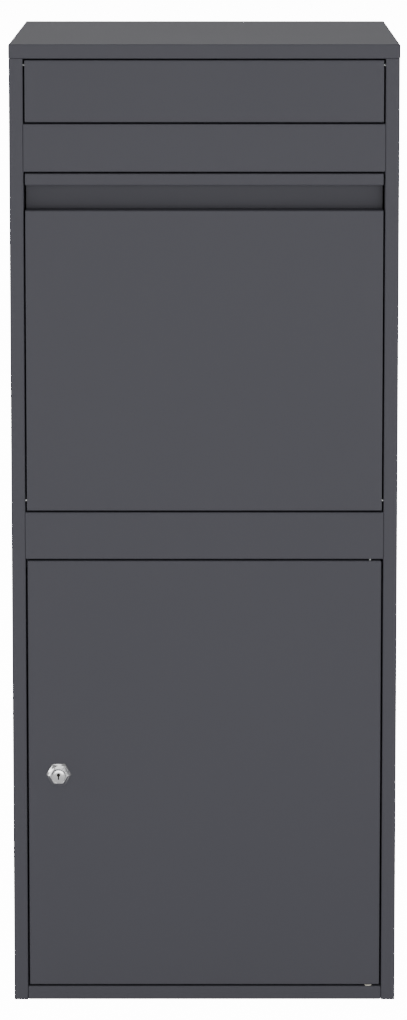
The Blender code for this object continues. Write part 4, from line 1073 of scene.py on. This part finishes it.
plug_low, plug_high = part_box("lock_plug")
stub_end, head_front = FRONT - plug_high.y, FRONT - plug_low.y
HEAD_EDGE = 0.0009
head_curve = HEAD_EDGE * 0.3
KEY_WELL = (0.0018, 0.0030)
KEY_UP = 0.0016
KEY_RIM = 0.0001
plug_back = sleeve_back - GAP
profile = [(0, stub_end), (STUB_RADIUS - PIN_CHAMFER, stub_end),
           (STUB_RADIUS, stub_end + PIN_CHAMFER),
           (STUB_RADIUS, plug_back), (PLUG_RADIUS, plug_back), (PLUG_RADIUS, HEAD_SEAT + GAP),
           (HEAD_RADIUS, HEAD_SEAT + GAP), (HEAD_RADIUS, head_front - HEAD_EDGE),
           (HEAD_RADIUS - head_curve, head_front - head_curve),
           (HEAD_RADIUS - HEAD_EDGE, head_front), (0, head_front)]
plug = turn("lock_plug_turned", profile)
cut(plug, block("key_slot", (0, 0, head_front), (KEYHOLE[0], KEYHOLE[1], 2 * KEYHOLE[2])))
cut(plug, rod("key_well", (0, KEY_UP, head_front - KEY_WELL[1]), (0, KEY_UP, head_front + SHEET),
              KEY_WELL[0]))
bpy.ops.object.shade_smooth_by_angle(angle=SHARPEST_ROUND)
# A near-black finish for the keyhole: painted shade, standing in for the shade that falls inside the
# keyhole.
keyhole_shade = finish_material("keyhole_painted_shade", (0.030, 0.028, 0.024), tint=(0.045, 0.040, 0.032),
                         roughness=(0.55, 0.75), metallic=0.6, gloss=0.3, grain_scale=700.0,
                         grain_depth=0.00002, dust=0.0)
plug.data.materials.append(chrome)
plug.data.materials.append(keyhole_shade)
# Painted shade: the sunk faces inside the keyhole take the near-black finish.
keyhole_shade_half, keyhole_shade_reach = KEY_WELL[0] * 1.1, KEYHOLE[1] * 0.6
for face in plug.data.polygons:
    x, y, z = face.center
    sunk = head_front - 2 * KEYHOLE[2] < z < head_front - KEY_RIM
    if sunk and abs(x) < keyhole_shade_half and math.hypot(x, y) < keyhole_shade_reach:
        face.material_index = 1
stand_for(aim(plug, LOCK_PLACE, OUTWARD), chrome, "lock", "lock_plug")

turned_washer("lock_washer", zinc, "lower_door", (0, 1, 0), SLEEVE_RADIUS + GAP)


# ---- Nuts ----
# Zinc-plated hexagon nuts, chamfered at their corners and countersunk at the bore: eighteen on
# the shell's welded studs, one that clamps the lock and one that holds its cam.
COUNTERSINK = 0.0003
NUT_CHAMFER = math.radians(30)
NUT_SMOOTH = math.radians(20)
STUD_NUT = 0.008
LOCK_NUT = 0.023
CAM_NUT = 0.010


def hex_nut(node, body, direction, flats, bore):
    """A hexagon nut whose corners and bore are chamfered at both ends."""
    foot, length, spans = node_along(node, direction)
    nut = hex_bar(f"{node}_cut", flats, length)
    corner = flats / math.sqrt(3)
    bevelled = flats / 2
    drop = (corner - bevelled) * math.tan(NUT_CHAMFER)
    cone = turn("nut_corners", [(0, 0), (bevelled, 0), (corner, drop), (corner, length - drop),
                                (bevelled, length), (0, length)])
    trim_on(nut, cone)
    mouth = bore + COUNTERSINK + SHEET
    cut(nut, turn("nut_bore", [(0, -SHEET), (mouth, -SHEET), (bore, COUNTERSINK),
                               (bore, length - COUNTERSINK), (mouth, length + SHEET),
                               (0, length + SHEET)]))
    bpy.ops.object.shade_smooth_by_angle(angle=NUT_SMOOTH)
    stand_for(aim(nut, foot, direction), zinc, body, node)


for number in range(1, 5):
    hex_nut(f"roof_nut_{number}", "cabinet", (0, 0, -1), STUD_NUT, STUD_HOLE)
for group, count in (("base", 4), ("chute", 4)):
    for number in range(1, count + 1):
        low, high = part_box(f"{group}_nut_{number}")
        inward = -1 if low.x > 0 else 1
        hex_nut(f"{group}_nut_{number}", "cabinet", (inward, 0, 0), STUD_NUT, STUD_HOLE)
for number in range(1, 7):
    hex_nut(f"back_nut_{number}", "cabinet", (0, -1, 0), STUD_NUT, STUD_HOLE)
hex_nut("lock_nut", "lower_door", (0, 1, 0), LOCK_NUT, SLEEVE_RADIUS + GAP)
hex_nut("lock_cam_nut", "lock", (0, 1, 0), CAM_NUT, STUB_RADIUS + GAP)


# ---- Lock cam ----
# A stamped and zinc-plated steel strip on the plug's end, round at the hub and narrowed at the
# tip, which swings behind the left side panel's hem.
CAM_EDGE = 0.0003
CAM_CORNER_STEPS = 4

cam_low, cam_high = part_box("lock_cam")
cam_thick = cam_high.y - cam_low.y
hub_radius = (cam_high.x - cam_low.x) / 2
cam_reach = LOCK_Z - cam_low.z
cam = rod("lock_cam_stamped", (LOCK_X, cam_low.y, LOCK_Z), (LOCK_X, cam_high.y, LOCK_Z), hub_radius,
          LOCK_VERTICES)
strip = block("cam_strip", (LOCK_X, (cam_low.y + cam_high.y) / 2, LOCK_Z - cam_reach / 2),
              (2 * hub_radius, cam_thick, cam_reach))
bpy.ops.object.mode_set(mode="EDIT")
bpy.ops.mesh.select_mode(type="EDGE")
select_edges(lambda edge: ends(edge, lambda co: near(co.z, cam_low.z))
             and near(edge.verts[0].co.x, edge.verts[1].co.x))
bpy.ops.mesh.bevel(offset=hub_radius / 2, segments=CAM_CORNER_STEPS, affect="EDGES")
bpy.ops.object.mode_set(mode="OBJECT")
bpy.ops.object.select_all(action="DESELECT")
cam.select_set(True)
bpy.context.view_layer.objects.active = cam
weld = cam.modifiers.new("strip", "BOOLEAN")
weld.operation = "UNION"
weld.object = strip
bpy.ops.object.modifier_apply(modifier=weld.name)
bpy.data.objects.remove(strip, do_unlink=True)
cut(cam, rod("cam_hole", (LOCK_X, cam_low.y - SHEET, LOCK_Z), (LOCK_X, cam_high.y + SHEET, LOCK_Z),
             STUB_RADIUS + GAP))
break_edges(cam, CAM_EDGE)
stand_for(cam, zinc, "lock", "lock_cam")
